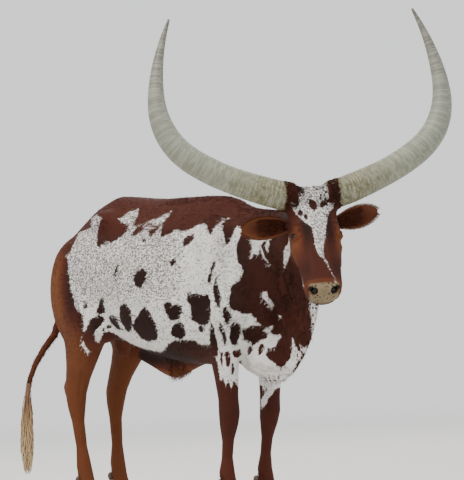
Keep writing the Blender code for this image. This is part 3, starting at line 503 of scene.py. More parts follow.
# The tones: 0 is near black brown, 0.5 red brown and 1 orange tan
def bodyTone(x, z, across):
    tone = 0.14 + 0.30 * ease(1.12, 1.32, z)
    tone = toward(tone, 0.34 + 0.10 * np.sin(6 * across) * ease(262, 285, across), ease(0.55, 0.75, x))
    # the rump's own orange tan, made lighter on its back face as painted light
    rump = np.maximum(tone, 0.74 + 0.14 * ease(1.15, 0.80, z))
    tone = toward(tone, rump, ease(-0.42, -0.54, x) * ease(1.34, 1.12, z))
    hind = np.maximum(ease(-0.22, -0.42, x) * ease(1.04, 0.76, z), ease(-0.15, -0.25, x) * ease(0.86, 0.74, z))
    # painted shade: the hind legs darker towards the front of the thigh, where it meets the flank
    tone = toward(tone, 0.70 - 0.14 * ease(-0.44, -0.36, x) * ease(0.5, 0.8, z), hind)
    tone = toward(tone, 0.38 + 0.12 * ease(0.5, 0.2, z), ease(0.20, 0.26, x) * ease(0.80, 0.66, z))  # forelegs
    belly = ease(0.74, 0.66, z) * ease(-0.30, -0.20, x) * ease(0.34, 0.26, x)
    return toward(tone, 0.16 + 0.64 * ease(0.68, 0.61, z), belly)  # the sheath's own red brown, made lighter as painted light against the shade under the belly


def headTone(local):
    down, side = -local[:, 2], np.abs(local[:, 1])
    tone = 0.42 - 0.16 * ease(0.30, 0.16, down) * ease(0.075, 0.055, side)
    for amount, middleDown, middleSide, reachDown, reachSide in (
        (0.30, 0.215, 0.098, 0.055, 0.030),  # round the eye
        (0.15, 0.28, 0.09, 0.06, 0.025),  # the cheek
        (-0.16, 0.20, 0.050, 0.07, 0.018),  # beside the blaze
        (-0.12, 0.38, 0.062, 0.05, 0.016),  # painted shade in the hollow beside the bridge
    ):
        tone = tone + amount * np.exp(-(((down - middleDown) / reachDown) ** 2) - ((side - middleSide) / reachSide) ** 2)
    tone = np.maximum(tone, 0.62 * ease(0.405, 0.448, down) * ease(0.090, 0.06, -local[:, 0]))  # above the muzzle
    return np.where(down < coatSettings["darkPoll"], 0.16, tone)


def markCoat(points):  # the numbers that the coat's materials read, for points on the skin
    x, y, z = (points - np.array(shift)).T
    over = y - middleAt(x, z)
    local = inFace(points)
    down, side = -local[:, 2], np.abs(local[:, 1])
    pixels = toPhoto(points)
    share = ease(0.006, 0.034, over) * ease(*coatSettings["legTop"], z)
    seen = drawPattern(bodyPattern, pixels)
    pied = toward(seen, farPattern(points, x, z, over), share)
    pied = np.minimum(pied, rumpEdge(x, y, z, share))
    onFace = np.minimum(drawPattern(headPattern, pixels), (local[:, 0] + 0.075) / coatSettings["pixel"])
    behindJaw = (pixels[:, 0] < coatSettings["behindJaw"]) & (local[:, 1] < 0) & (local[:, 0] < -0.13) & (down > 0.12)
    onHead = (headness(local) > 0.5) & (down > -0.06) & (down < 0.56) & ~behindJaw
    farForeleg = (x > 0.2) & (z < 0.74) & (over > 0.05) & ~onHead
    pied = np.where(onHead, onFace, pied)
    pied = np.where(farForeleg, np.minimum(pied, seen), pied)
    tone = np.where(onHead, headTone(local), bodyTone(x, z, pixels[:, 0]))
    tone = toward(tone, 0.55, ease(-0.655, -0.70, x))  # the tail
    roan = 0.35 + 0.65 * ease(0.88, 1.02, z) * ease(0.42, 0.25, x)
    roan = roan * (1 - 0.9 * ease(0.5, 0.58, x) * ease(0.86, 0.78, z))
    roan = np.where(onHead, 0.95, roan)
    coarse = ease(0.605, 0.580, z) * ease(0.5, 0.6, x)  # black spots under the brisket and down the throat
    coarse += ease(0.80, 0.86, x) * ease(0.02, 0.0, np.abs(over) - 0.02)
    bare = ease(0.453, 0.465, down - 0.25 * np.maximum(-local[:, 0] - 0.05, 0)) * ease(0.070, 0.052, side)
    bare = bare * ease(-0.108, -0.094, local[:, 0]) * onHead
    return {"pied": pied, "tone": np.clip(tone, 0, 1), "roan": np.clip(roan, 0, 1),
            "coarse": np.clip(coarse, 0, 1), "bare": bare}


# Folds and creases of the body: width and height in millimetres, then where they run in the photograph
bodyStrokes = [
    ("brisket crease", 10, -11, [(246, 363), (252, 368), (259, 371), (268, 373), (278, 373), (285, 369)]),
    ("brisket lobe", 30, 9, [(252, 359), (261, 362), (271, 365)]),
    ("brisket crease behind", 8, -6, [(254, 362), (262, 366), (271, 369)]),
    ("lower fold", 20, 6, [(256, 378), (268, 381), (280, 379)]),
    ("elbow crease", 9, -8, [(214, 324), (216, 337), (217, 350)]),
    ("foreleg and brisket", 11, -10, [(245, 343), (246, 355), (246, 367)]),
    ("jaw and neck", 14, -9, [(286, 236), (286, 250), (291, 266), (298, 284)]),
    ("neck fold", 9, -5, [(280, 262), (281, 276), (286, 291), (292, 304)]),
    ("second neck fold", 9, -4, [(272, 258), (273, 276), (278, 296)]),
    ("third neck fold", 8, -3.5, [(289, 284), (294, 300), (297, 316)]),
    ("throat fold", 9, -6, [(303, 300), (302, 316), (304, 334)]),
    ("neck ridge", 12, 4, [(284, 262), (286, 278), (291, 294)]),
    ("blade edge", 28, 6, [(248, 262), (243, 284), (247, 304)]),
    ("blade spine", 22, 5, [(221, 238), (225, 262), (229, 288)]),
    ("behind the shoulder", 40, -8, [(207, 240), (208, 270), (211, 300)]),
    ("flank fold", 14, -8, [(105, 331), (101, 318), (98, 302)]),
    ("flank hollow", 55, -12, [(118, 232), (122, 246)]),
    ("thigh groove", 12, -5, [(75, 296), (78, 322), (84, 346)]),
    ("stifle", 26, 5, [(92, 322), (97, 330)]),
    ("hip slope", 30, 5, [(92, 215), (76, 236)]),
    ("knee top", 9, 3, [(219, 398), (227, 400), (234, 397)]),
    ("forearm muscle", 16, 4, [(224, 352), (227, 374)]),
    ("forearm groove", 7, -3, [(232, 356), (233, 380)]),
    ("back tendon", 6, -3, [(221, 414), (222, 440)]),
    ("hock tendon", 8, -5, [(82, 372), (79, 396)]),
    ("shank tendon", 6, -3, [(84, 414), (85, 446)]),
]

# The face's forms, in its own frame in millimetres: out of the forehead, to the side and down the face
faceStrokes = [
    ("brow", 12, 5.5, [(-6, 76, 160), (-14, 96, 174), (-30, 106, 188)]),
    ("hollow above the eye", 16, -4, [(-34, 98, 150), (-52, 100, 168)]),
    ("temple", 18, -5, [(-60, 100, 130), (-70, 100, 170)]),
    ("face crest", 9, 4, [(-58, 99, 248), (-62, 94, 290), (-64, 89, 340)]),
    ("cheek", 40, 5, [(-135, 88, 215), (-125, 88, 262)]),
    ("jaw edge", 12, 3, [(-215, 52, 190), (-190, 60, 280), (-150, 62, 370)]),
    ("bridge edge", 10, 2.5, [(0, 36, 235), (-6, 35, 320), (-10, 36, 405)]),
    ("beside the bridge", 14, -3.5, [(-16, 66, 265), (-20, 66, 340), (-24, 66, 408)]),
    ("nostril wing", 6, 4.0, [(-14, 50, 462), (-24, 66, 466), (-40, 76, 480), (-56, 70, 496)]),
    ("nostril edge", 5, 2.5, [(-16, 36, 476), (-24, 27, 492), (-38, 27, 506)]),
    ("upper lip", 8, 2.5, [(-80, 24, 510), (-82, 54, 498), (-90, 76, 474), (-98, 83, 444)]),
    ("lower lip", 9, 3, [(-106, 22, 502), (-108, 50, 490), (-112, 68, 466)]),
    ("lip corner", 7, -3, [(-100, 84, 430), (-104, 84, 412)]),
    ("tear line", 3.5, -2, [(-24, 90, 224), (-26, 88, 246), (-30, 86, 264)]),
    ("under the eye", 5, -1.6, [(-34, 106, 236), (-50, 108, 232)]),
    ("second fold under", 5, -1.4, [(-32, 104, 246), (-54, 107, 242)]),
    ("philtrum", 3.5, -2.0, [(-24, 0, 492), (-46, 0, 512), (-66, 0, 512)]),
    ("chin", 26, 4, [(-124, 0, 480), (-128, 0, 460)]),
]
nostrilSettings = (  # middle, radii and depth of the two hollows that make each comma
    ((-0.034, 0.043, -0.490), (0.017, 0.0155, 0.016), 0.016),
    ((-0.034, 0.057, -0.478), (0.016, 0.013, 0.0125), 0.010),
)


def strokeLine(points, normals, line, width, height):  # raises or sinks the surface beside a line
    low, high = np.min(line, axis=0) - 3 * width, np.max(line, axis=0) + 3 * width
    near = np.nonzero(((points > low) & (points < high)).all(1))[0]
    away = reachToLine(points[near], line)
    points[near] += normals[near] * (height * np.exp(-((away / width) ** 2)))[:, None]


def mirrorOver(place):  # the same place on the far side of the animal
    middle = float(middleAt(place[0] - shift.x, place[2])) + shift.y
    return np.array((place[0], 2 * middle - place[1], place[2]))


def refine(thing, places, radius):  # smaller faces round some places, for the lids and lips
    bm = bmesh.new()
    bm.from_mesh(thing.data)
    near = set()
    for edge in bm.edges:
        middle = (edge.verts[0].co + edge.verts[1].co) / 2
        if any((middle - place).length < radius for place in places):
            near.add(edge)
    bmesh.ops.subdivide_edges(bm, edges=list(near), cuts=1, use_grid_fill=True)
    bmesh.ops.triangulate(bm, faces=[f for f in bm.faces if len(f.verts) > 4])
    bm.to_mesh(thing.data)
    bm.free()


def onSkin(tree, across, down):  # where a pixel of the photograph lies on the skin
    place, ray = rayThrough(across, down)
    hit = tree.ray_cast(place, ray)[0]
    return None if hit is None else np.array(hit)


mouthSettings = {"height": -0.420, "depth": -0.092, "swung": 0.215, "halfTurn": 102.0, "rays": 12, "width": 0.0030,
                 "sunk": 0.0060, "mouthShadeWidth": 0.0035, "dark": 0.8}


def mouthLine(tree):  # round the muzzle, from one corner of the mouth to the other
    settings = mouthSettings
    centre = face @ Vector((settings["depth"], -headPlace["swing"] * settings["swung"], settings["height"]))
    line = []
    for i in range(2 * settings["rays"] + 1):
        angle = math.radians(settings["halfTurn"]) * (i / settings["rays"] - 1)
        ray = face.to_3x3() @ Vector((-0.12 * abs(math.sin(angle / 2)), math.sin(angle), -math.cos(angle)))
        hit = tree.ray_cast(centre, ray.normalized())[0]
        if hit is not None:
            line.append(np.array(hit))
    return line


def sculptSkin():
    eyes = [eyeCentre(side) for word, side in sides]
    muzzle = [face @ Vector((-0.060, -0.015, down)) for down in (-0.490, -0.455)]
    for places, radius in ((muzzle, 0.096), (eyes, 0.050), (eyes, 0.036)):
        refine(skin, places, radius)
    points = pointsOf(skin.data)
    normals = pointsOf(skin.data, "normal")
    tree = BVHTree.FromObject(skin, bpy.context.evaluated_depsgraph_get())
    mouth = mouthLine(tree)
    for name, width, height, pixels in bodyStrokes:
        line = [hit for hit in (onSkin(tree, *pixel) for pixel in pixels) if hit is not None]
        if len(line) > 1:
            for places in (line, [mirrorOver(place) for place in line]):
                strokeLine(points, normals, places, width / 1000, height / 1000)
    for name, width, height, places in faceStrokes:
        for side in (-1, 1) if places[0][1] else (1,):  # what lies on the middle line is drawn once
            line = outOfFace(np.array([(x, side * y, -z) for x, y, z in places]) / 1000)
            strokeLine(points, normals, line, width / 1000, height / 1000)
    strokeLine(points, normals, mouth, mouthSettings["width"], -mouthSettings["sunk"])
    points, nostrilShade = carveNostrils(points)
    points -= normals * skinSettings["depth"]
    points, dark = shapeLids(points)
    setPoints(skin.data, points)
    # painted shade: a dark line along the mouth's crease, where the lips meet
    away = reachToLine(pointsOf(skin.data), mouth)
    lips = mouthSettings["dark"] * np.exp(-((away / mouthSettings["mouthShadeWidth"]) ** 2))
    return np.maximum(np.maximum(dark, nostrilShade), lips)


def carveNostrils(points):  # comma-shaped, wide in front and drawn out to the side, and darkened inside as painted shade
    local = inFace(points)
    dark = np.zeros(len(local))
    moves = np.zeros(local.shape)
    for word, side in sides:
        for centre, radii, depth in nostrilSettings:
            middle = np.array((centre[0], side * centre[1], centre[2]))
            off = np.linalg.norm((local - middle) / np.array(radii), axis=1)
            moves += np.array((-0.55, -side * 0.15, 0.80)) * (depth * ease(1.10, 0.60, off))[:, None]
            # painted shade: the hollows darkened where shade falls inside the nostrils
            dark = np.maximum(dark, ease(1.02, 0.72, off))
    return outOfFace(local + moves), dark


lidSettings = {  # angles in radians round the ball, the tilt in degrees and thicknesses in metres
    "halfWidth": 0.80, "halfHeight": 0.46, "lower": 0.75, "tilt": -12.0, "axis": Vector((0.42, 1.0, 0.02)), "near": 0.060,
    "over": 0.0026, "rim": 0.0012, "sunk": 0.84, "upperFold": 0.0018, "lowerFold": 0.0010, "reach": (0.30, 0.95),
    "darkRim": 0.17,
}


def sided(direction, side):  # a direction in the face's frame, on either side of the head
    return (face.to_3x3() @ Vector((direction.x, side * direction.y, direction.z))).normalized()


def shapeLids(points):  # leaves an almond open over each eye and lays the lids on the ball, with the lids' dark edge and painted shade round the opening
    settings = lidSettings
    dark = np.zeros(len(points))
    radius = headPlace["eyeRadius"]
    for word, side in sides:
        centre = np.array(eyeCentre(side))
        axis = sided(settings["axis"], side)
        up = face.to_3x3() @ Vector((0, 0, 1))
        up = (up - axis * up.dot(axis)).normalized()
        forward = axis.cross(up) * side
        tilt = math.radians(settings["tilt"])
        forward, up = forward * math.cos(tilt) + up * math.sin(tilt), up * math.cos(tilt) - forward * math.sin(tilt)
        away = points - centre
        length = np.linalg.norm(away, axis=1)
        near = np.nonzero((length < settings["near"]) & (away @ np.array(axis) > 0))[0]
        length = length[near]
        direction = away[near] / length[:, None]
        a = np.abs(np.arcsin(np.clip(direction @ np.array(forward), -1, 1)))
        b = np.arcsin(np.clip(direction @ np.array(up), -1, 1))
        share = np.clip(a / settings["halfWidth"], 0, 1)
        height = settings["halfHeight"] * (1 - share**2) * np.where(b > 0, 1.0, settings["lower"])
        beyond = np.hypot(np.maximum(a - settings["halfWidth"], 0), np.maximum(np.abs(b) - height, 0))
        inside = (a < settings["halfWidth"]) & (np.abs(b) < height)
        lid = radius + settings["over"] + settings["rim"] * np.exp(-((beyond - 0.05) / 0.06) ** 2)
        lid -= settings["upperFold"] * np.exp(-((beyond - 0.34) / 0.06) ** 2) * (b > 0)
        lid -= settings["lowerFold"] * np.exp(-((beyond - 0.30) / 0.05) ** 2) * (b < 0)
        target = toward(lid, length, ease(*settings["reach"], beyond))
        target = np.where(inside, radius * settings["sunk"], target)
        points[near] = centre + direction * target[:, None]
        # dark round the opening: partly the lids' own dark edge and partly painted shade of the opening, and the sunk
        # skin inside it painted dark as shade
        rim = np.where(inside, 1.0, np.exp(-((beyond / settings["darkRim"]) ** 2)))
        dark[near] = np.maximum(dark[near], rim)
    return points, dark


coatNoises = {  # turns a metre, detail, roughness and stretch
    "ragged": (58, 5.0, 0.68, (1, 1, 1)),  # 17 mm waves along the edges of the patches
    "hairs": (150, 3.0, 0.7, (0.9, 2.2, 1.6)),  # 3 to 7 mm locks that cross the edges
    "flecks": (120, 2.0, 0.75, (0.85, 1.4, 1.2)),  # 5 mm flecks of brown hair in the white
    "clouds": (11, 2.0, 0.6, (1, 1, 1)),  # where the flecks stand closer, 9 cm across
    "ticks": (210, 2.0, 0.7, (1, 1, 1)),  # pale hairs in the brown near the patches
    "shade": (9, 3.0, 0.6, (1, 1, 1)),
    "strands": (240, 3.0, 0.7, (0.6, 2.0, 1.4)),  # 2 to 4 mm hairs, drawn coarser than the real 0.1 mm to show
    "cream": (26, 3.0, 0.6, (1, 1, 1)),
    "damp": (40, 4.0, 0.6, (1, 1, 1)),
    "dotted": (45, 2.0, 0.6, (1, 1, 1)),  # where the bare muzzle has dots
    "lie": (230, 4.0, 0.7, (0.45, 1.8, 1.2)),
}
coatCells = {"spots": 62.0, "dots": 88.0, "pebbles": 300.0}  # cells a metre
coatSums = (  # each makes a field from the ones above it; RANGE turns one stretch of a field into another, 0 to 1
    ("edge", "MULTIPLY_ADD", "ragged", 5.2, "pied"),
    ("edge", "MULTIPLY_ADD", "hairs", 3.4, "edge"),
    ("white", "RANGE", "edge", 4.05, 4.75),  # both noises average a half, 4.3 in all
    ("density", "MULTIPLY_ADD", "clouds", 0.30, "roan"),
    ("density", "MULTIPLY_ADD", "density", -0.150, 0.655),
    ("fleck", "SUBTRACT", "flecks", "density"),
    ("fleck", "RANGE", "fleck", -0.010, 0.025),
    ("strength", "RANGE", "roan", 0.0, 0.35, 0.0, 0.80),
    ("fleck", "MULTIPLY", "fleck", "strength"),
    ("spots", "RANGE", "spots", 0.42, 0.32),
    ("spots", "MULTIPLY", "spots", "coarse"),
    ("fleck", "MAXIMUM", "fleck", "spots"),
    ("ticks", "RANGE", "ticks", 0.66, 0.72),
    ("nearWhite", "RANGE", "pied", -3.5, 0.5),
    ("ticks", "MULTIPLY", "ticks", "nearWhite"),
    ("tone", "MULTIPLY_ADD", "shade", 0.16, "tone"),
    ("tone", "MULTIPLY_ADD", "strands", 0.26, "tone"),
    ("tone", "SUBTRACT", "tone", 0.21),  # what both noises average
    ("dots", "RANGE", "dots", 0.40, 0.32),
    ("dotted", "RANGE", "dotted", 0.45, 0.50),
    ("dots", "MULTIPLY", "dots", "dotted"),
    ("rough", "MULTIPLY_ADD", "bare", -0.24, 0.68),
    ("rough", "MULTIPLY_ADD", "dark", -0.15, "rough"),
    ("shine", "MULTIPLY_ADD", "bare", 0.30, 0.10),
)
coatRamp = ((0.0, "#140b09"), (0.22, "#28140f"), (0.48, "#431f16"), (0.74, "#5f351e"), (1.0, "#7c5435"))
coatColours = (  # each lays a second colour over a first by a field
    ("brown", "ticks", "brown", "#a08d84"),
    ("pale", "cream", "#c2bfbd", "#e8e6e4"),
    ("pale", "fleck", "pale", "#2e2022"),
    ("colour", "white", "brown", "pale"),
    ("skin", "damp", "#5c4a34", "#877757"),
    ("skin", "dots", "skin", "#231a19"),
    ("colour", "bare", "colour", "skin"),
    # the near black of the dark field: painted shade in the nostrils, along the mouth and round the eye openings, with
    # the lids' own dark edge
    ("colour", "dark", "colour", "#140d0c"),
)


def coatMaterial(name, grained):  # short cattle hair that lies flat: matt, with a fine grain along its lie
    material, tree, shader = newMaterial(name)
    place = addNode(tree, "TexCoord", out="Object")
    field = {word: addNode(tree, "Attribute", out="Fac", attribute_name=word) for word in coatWords}
    for word, (scale, detail, rough, stretch) in coatNoises.items():
        turned = addNode(tree, "Mapping", {"Vector": place, "Scale": stretch, "Rotation": (0, -0.35, 0)})
        sockets = {"Vector": turned, "Scale": scale, "Detail": detail, "Roughness": rough}
        field[word] = addNode(tree, "TexNoise", sockets)
    for word, scale in coatCells.items():
        field[word] = addNode(tree, "TexVoronoi", {"Vector": place, "Scale": scale})
    for word, operation, *terms in coatSums:
        sockets = {i: field.get(term, term) for i, term in enumerate(terms)}
        if operation == "RANGE":
            field[word] = addNode(tree, "MapRange", sockets)
        else:
            field[word] = addNode(tree, "Math", sockets, operation=operation)
    field["brown"] = addNode(tree, "ValToRGB", {0: field["tone"]}, stops=coatRamp)
    for word, *terms in coatColours:
        sockets = {i: field.get(term, term) for i, term in zip((0, 6, 7), terms)}
        field[word] = addNode(tree, "Mix", sockets, 2, data_type="RGBA")
    plug(tree, shader, {"Base Color": field["colour"], "Roughness": field["rough"]})
    plug(tree, shader, {"Specular IOR Level": field["shine"]})
    if grained:
        height = addNode(tree, "Mix", {0: field["bare"], "A": field["lie"], "B": field["pebbles"]}, data_type="FLOAT")
        bump = addNode(tree, "Bump", {"Height": height, "Strength": 0.45, "Distance": 0.0035})
        plug(tree, shader, {"Normal": bump})
    return material


hornNoises = {  # along what, turns a metre, detail and stretch
    "fibres": ("sheath", 60, 4.0, (0.16, 2.0, 2.0)),  # long streaks that run up the horn
    "bands": ("sheath", 42, 3.0, (2.6, 0.35, 0.35)),  # growth bands that run round it
    "stains": ("place", 38, 5.0, (1, 1, 1)),
    "specks": ("place", 150, 4.0, (1, 1, 1)),
}
hornRamp = ((0.0, "#4a4424"), (0.10, "#5e5b3e"), (0.24, "#70725f"), (0.5, "#73776a"), (0.72, "#6b6c63"),
            (0.88, "#5b5852"), (1.0, "#38332f"))
hornLayers = (  # a field, the stretch of it that brings a colour in, how much at most, whether only near the root
    ("bands", 0.42, 0.62, 0.55, False, "#999c8c"),
    ("fibres", 0.55, 0.72, 0.5, False, "#6d6657"),
    ("stains", 0.50, 0.62, 1.0, True, "#4d4a35"),
    ("specks", 0.58, 0.66, 1.0, True, "#b5aa72"),
    ("ringWave", 0.45, 0.0, 0.45, False, "#57523f"),
)


def hornMaterial():  # keratin sheath: worn dull and grey, ringed and stained at the root, smoother at the tip
    material, tree, shader = newMaterial("horn keratin")
    field = {word: addNode(tree, "Attribute", out="Fac", attribute_name=word) for word in ("reach", "ringWave")}
    field["sheath"] = addNode(tree, "Attribute", out="Vector", attribute_name="hornPlace")
    field["place"] = addNode(tree, "TexCoord", out="Object")
    for word, (along, scale, detail, stretch) in hornNoises.items():
        mapped = addNode(tree, "Mapping", {"Vector": field[along], "Scale": stretch})
        sockets = {"Vector": mapped, "Scale": scale, "Detail": detail, "Roughness": 0.65}
        field[word] = addNode(tree, "TexNoise", sockets)
    root = addNode(tree, "MapRange", {0: field["reach"], 1: 0.30, 2: 0.02})
    colour = addNode(tree, "ValToRGB", {0: field["reach"]}, stops=hornRamp)
    for word, low, high, most, rooted, code in hornLayers:
        share = addNode(tree, "MapRange", {0: field[word], 1: low, 2: high, 4: most})
        if rooted:
            share = addNode(tree, "Math", {0: root, 1: share}, operation="MULTIPLY")
        colour = addNode(tree, "Mix", {0: share, 6: colour, 7: code}, 2, data_type="RGBA")
    rough = addNode(tree, "MapRange", {0: field["stains"], 3: 0.42, 4: 0.66})
    height = addNode(tree, "Math", {0: field["fibres"], 1: field["bands"]}, operation="ADD")
    bump = addNode(tree, "Bump", {"Height": height, "Strength": 0.35, "Distance": 0.002})
    plug(tree, shader, {"Base Color": colour, "Roughness": rough, "Normal": bump})
    return material


def eyeMaterial():  # a wet eye: clear and glossy over a dark brown iris with a lying oval pupil
    material, tree, shader = newMaterial("wet eye")
    across, up = (addNode(tree, "Attribute", out="Fac", attribute_name=word) for word in ("eyeAcross", "eyeUp"))
    flat = addNode(tree, "CombineXYZ", {"X": across, "Y": up})  # in millimetres
    radius = addNode(tree, "VectorMath", {0: flat}, "Value", operation="LENGTH")
    oval = addNode(tree, "VectorMath", {0: flat, 1: (1 / 5.6, 1 / 3.2, 0)}, operation="MULTIPLY")
    pupil = addNode(tree, "VectorMath", {0: oval}, "Value", operation="LENGTH")
    streaks = addNode(tree, "TexNoise", {"Vector": flat, "Scale": 0.9, "Detail": 4.0})
    colour = addNode(tree, "Mix", {0: streaks, 6: "#1a0d08", 7: "#3a1e10"}, 2, data_type="RGBA")
    for source, low, high, code in ((radius, 8.2, 10.2, "#120a08"), (radius, 10.3, 11.6, "#4a3a32"),
                                    (pupil, 1.08, 0.94, "#050404")):
        share = addNode(tree, "MapRange", {0: source, 1: low, 2: high})
        colour = addNode(tree, "Mix", {0: share, 6: colour, 7: code}, 2, data_type="RGBA")
    plug(tree, shader, {"Base Color": colour, "Roughness": 0.10, "Specular IOR Level": 0.30})
    return material


def clawMaterial():  # hoof horn: dark, hard and slightly waxy, with growth lines and worn dry patches
    material, tree, shader = newMaterial("hoof horn")
    place = addNode(tree, "TexCoord", out="Object")
    mapped = addNode(tree, "Mapping", {"Vector": place, "Scale": (1, 1, 3.2)})
    lines = addNode(tree, "TexNoise", {"Vector": mapped, "Scale": 90.0, "Detail": 4.0})
    worn = addNode(tree, "TexNoise", {"Vector": place, "Scale": 35.0, "Detail": 5.0})
    colour = addNode(tree, "Mix", {0: lines, 6: "#2c221d", 7: "#5d4a3b"}, 2, data_type="RGBA")
    dry = addNode(tree, "MapRange", {0: worn, 1: 0.5, 2: 0.7, 4: 0.6})
    colour = addNode(tree, "Mix", {0: dry, 6: colour, 7: "#85725f"}, 2, data_type="RGBA")
    rough = addNode(tree, "MapRange", {0: worn, 3: 0.34, 4: 0.62})
    bump = addNode(tree, "Bump", {"Height": lines, "Strength": 0.3, "Distance": 0.0015})
    plug(tree, shader, {"Base Color": colour, "Roughness": rough, "Normal": bump})
    return material


def switchMaterial():  # long tail hair: brown at the root, bleached to straw below
    material, tree, shader = newMaterial("bleached tail hair")
    place = addNode(tree, "TexCoord", out="Object")
    rise = addNode(tree, "SeparateXYZ", {"Vector": place}, out="Z")
    along = addNode(tree, "Mapping", {"Vector": place, "Scale": (1, 1, 0.12)})
    strand = addNode(tree, "TexNoise", {"Vector": along, "Scale": 260.0, "Detail": 3.0})
    clump = addNode(tree, "TexNoise", {"Vector": along, "Scale": 70.0, "Detail": 2.0})
    height = addNode(tree, "Math", {0: clump, 1: 0.16, 2: rise}, operation="MULTIPLY_ADD")
    fall = addNode(tree, "MapRange", {0: height, 1: 0.68, 2: 0.30})
    stops = ((0.0, "#5a3424"), (0.25, "#7d5737"), (0.55, "#a98a5f"), (1.0, "#c7ad82"))
    light = addNode(tree, "ValToRGB", {0: fall}, stops=stops)
    dark = addNode(tree, "Mix", {0: 0.45, 6: light, 7: "#3c2a1c"}, 2, data_type="RGBA")
    colour = addNode(tree, "Mix", {0: strand, 6: dark, 7: light}, 2, data_type="RGBA")
    bump = addNode(tree, "Bump", {"Height": strand, "Strength": 0.4, "Distance": 0.001})
    plug(tree, shader, {"Base Color": colour, "Roughness": 0.48, "Sheen Weight": 0.10, "Normal": bump})
    return material


def earMaterial():  # thin skin with short hair outside, warmer and barer inside the cup, with painted shade deep in the cup
    material = coatMaterial("ear coat", True)
    tree = material.node_tree
    shader = next(n for n in tree.nodes if n.type == "BSDF_PRINCIPLED")
    outside = shader.inputs["Base Color"].links[0].from_socket
    inner, cup = (addNode(tree, "Attribute", out="Fac", attribute_name=word) for word in ("inner", "cup"))
    place = addNode(tree, "TexCoord", out="Object")
    grain = addNode(tree, "TexNoise", {"Vector": place, "Scale": 120.0, "Detail": 4.0})
    # the inside's own warm colour, darkened towards the root and middle of the cup as painted shade in its hollow
    depth = addNode(tree, "Math", {0: grain, 1: 0.25, 2: cup}, operation="MULTIPLY_ADD")
    stops = ((0.0, "#6e412a"), (0.45, "#512b1d"), (0.8, "#331b15"), (1.0, "#1d100d"))
    inside = addNode(tree, "ValToRGB", {0: depth}, stops=stops)
    colour = addNode(tree, "Mix", {0: inner, 6: outside, 7: inside}, 2, data_type="RGBA")
    plug(tree, shader, {"Base Color": colour})
    return material


def sweep(bm, stations, segments):  # a tube along (place, direction, radius) stations, grown ring by ring
    place, along, radius = stations[0]
    matrix = Matrix.Translation(place) @ along.to_track_quat("Z", "Y").to_matrix().to_4x4()
    ring = bmesh.ops.create_circle(bm, cap_ends=True, segments=segments, radius=radius, matrix=matrix)["verts"]
    edges = [edge for edge in bm.edges if all(v in ring for v in edge.verts)]
    for newPlace, newAlong, newRadius in stations[1:]:
        grown = bmesh.ops.extrude_edge_only(bm, edges=edges)["geom"]
        ring = [part for part in grown if isinstance(part, bmesh.types.BMVert)]
        edges = [e for e in grown if isinstance(e, bmesh.types.BMEdge) and all(v in ring for v in e.verts)]
        turn = along.rotation_difference(newAlong)
        for vertex in ring:
            vertex.co = newPlace + turn @ (vertex.co - place) * (newRadius / radius)
        place, along, radius = newPlace, newAlong, newRadius
    bmesh.ops.contextual_create(bm, geom=edges)
    bmesh.ops.recalc_face_normals(bm, faces=bm.faces)


def growRing(bm, places, previous):  # one more ring of a tube, with a cap under the first
    ring = [bm.verts.new(place) for place in places]
    edges = [bm.edges.new((a, b)) for a, b in zip(ring, ring[1:] + ring[:1])]
    if previous is None:
        bm.faces.new(ring)
    else:
        bmesh.ops.bridge_loops(bm, edges=previous + edges)
    return ring, edges


def curveThrough(stations, steps):  # a smooth line through stations of numbers, steps to each stretch
    table = np.array(stations, float)
    ends = np.vstack([2 * table[0] - table[1], table, 2 * table[-1] - table[-2]])
    line = []
    for i in range(len(table) - 1):
        a, b, c, d = ends[i : i + 4]
        for k in range(steps):
            t = k / steps
            line.append(0.5 * (2 * b + (c - a) * t + (2 * a - 5 * b + 4 * c - d) * t**2 + (3 * b - a - 3 * c + d) * t**3))
    line.append(table[-1])
    return line


def alongOf(places):
    last = len(places) - 1
    return [(places[min(i + 1, last)] - places[max(i - 1, 0)]).normalized() for i in range(last + 1)]


# The horns: growth rings near the root that fade out towards a smooth tip
hornSettings = {"sides": 44, "steps": 14, "fit": 0.992, "ringDepth": 0.018, "ringSpacing": 0.026, "ringedShare": 0.60}


def makeHorn(word, side, material):
    settings = hornSettings
    tilt = headFrame(headPlace["hornLean"])
    line = curveThrough(hornPath, settings["steps"])
    places = [tilt @ Vector((0, side * out, rise)) for out, rise, radius in line]
    radii = [radius * settings["fit"] for out, rise, radius in line]
    bm = bmesh.new()
    sweep(bm, list(zip(places, alongOf(places), radii)), settings["sides"])
    horn = meshObject(f"horn_{word}_shell", bm, material)
    middles = np.array([tuple(p) for p in places])
    lengths = np.concatenate([[0], np.cumsum(np.linalg.norm(np.diff(middles, axis=0), axis=1))])
    points = pointsOf(horn.data)
    nearest = np.argmin(((points[:, None, :] - middles[None, :, :]) ** 2).sum(2), axis=1)
    reach = lengths[nearest]
    out = points - middles[nearest]
    radius = np.linalg.norm(out, axis=1)
    around = np.arctan2(out[:, 2], out[:, 1])
    wobble = 0.006 * np.sin(around * 2 + 11 * reach) + 0.004 * np.sin(around * 5 - 17 * reach)
    fade = 1 - ease(0.15, settings["ringedShare"], reach / lengths[-1])
    rings = np.abs(np.sin(math.pi * (reach + wobble) / settings["ringSpacing"])) ** 0.7 - 1
    swells = np.sin(reach * 31 + 2 * np.sin(around)) - 1  # 20 cm long, between groups of rings
    wall = radius * settings["ringDepth"] * fade * (rings + 0.5 * swells)
    setPoints(horn.data, points + out / np.maximum(radius, 1e-6)[:, None] * wall[:, None])
    writeValues(horn.data, "reach", reach / lengths[-1])
    writeValues(horn.data, "ringWave", rings * fade + 1)
    sheath = np.stack([reach, radius * np.cos(around), radius * np.sin(around)], axis=1).astype(np.float32)
    horn.data.attributes.new("hornPlace", "FLOAT_VECTOR", "POINT").data.foreach_set("vector", sheath.ravel())
    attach(horn, "root")
    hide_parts(f"horn_{word}")


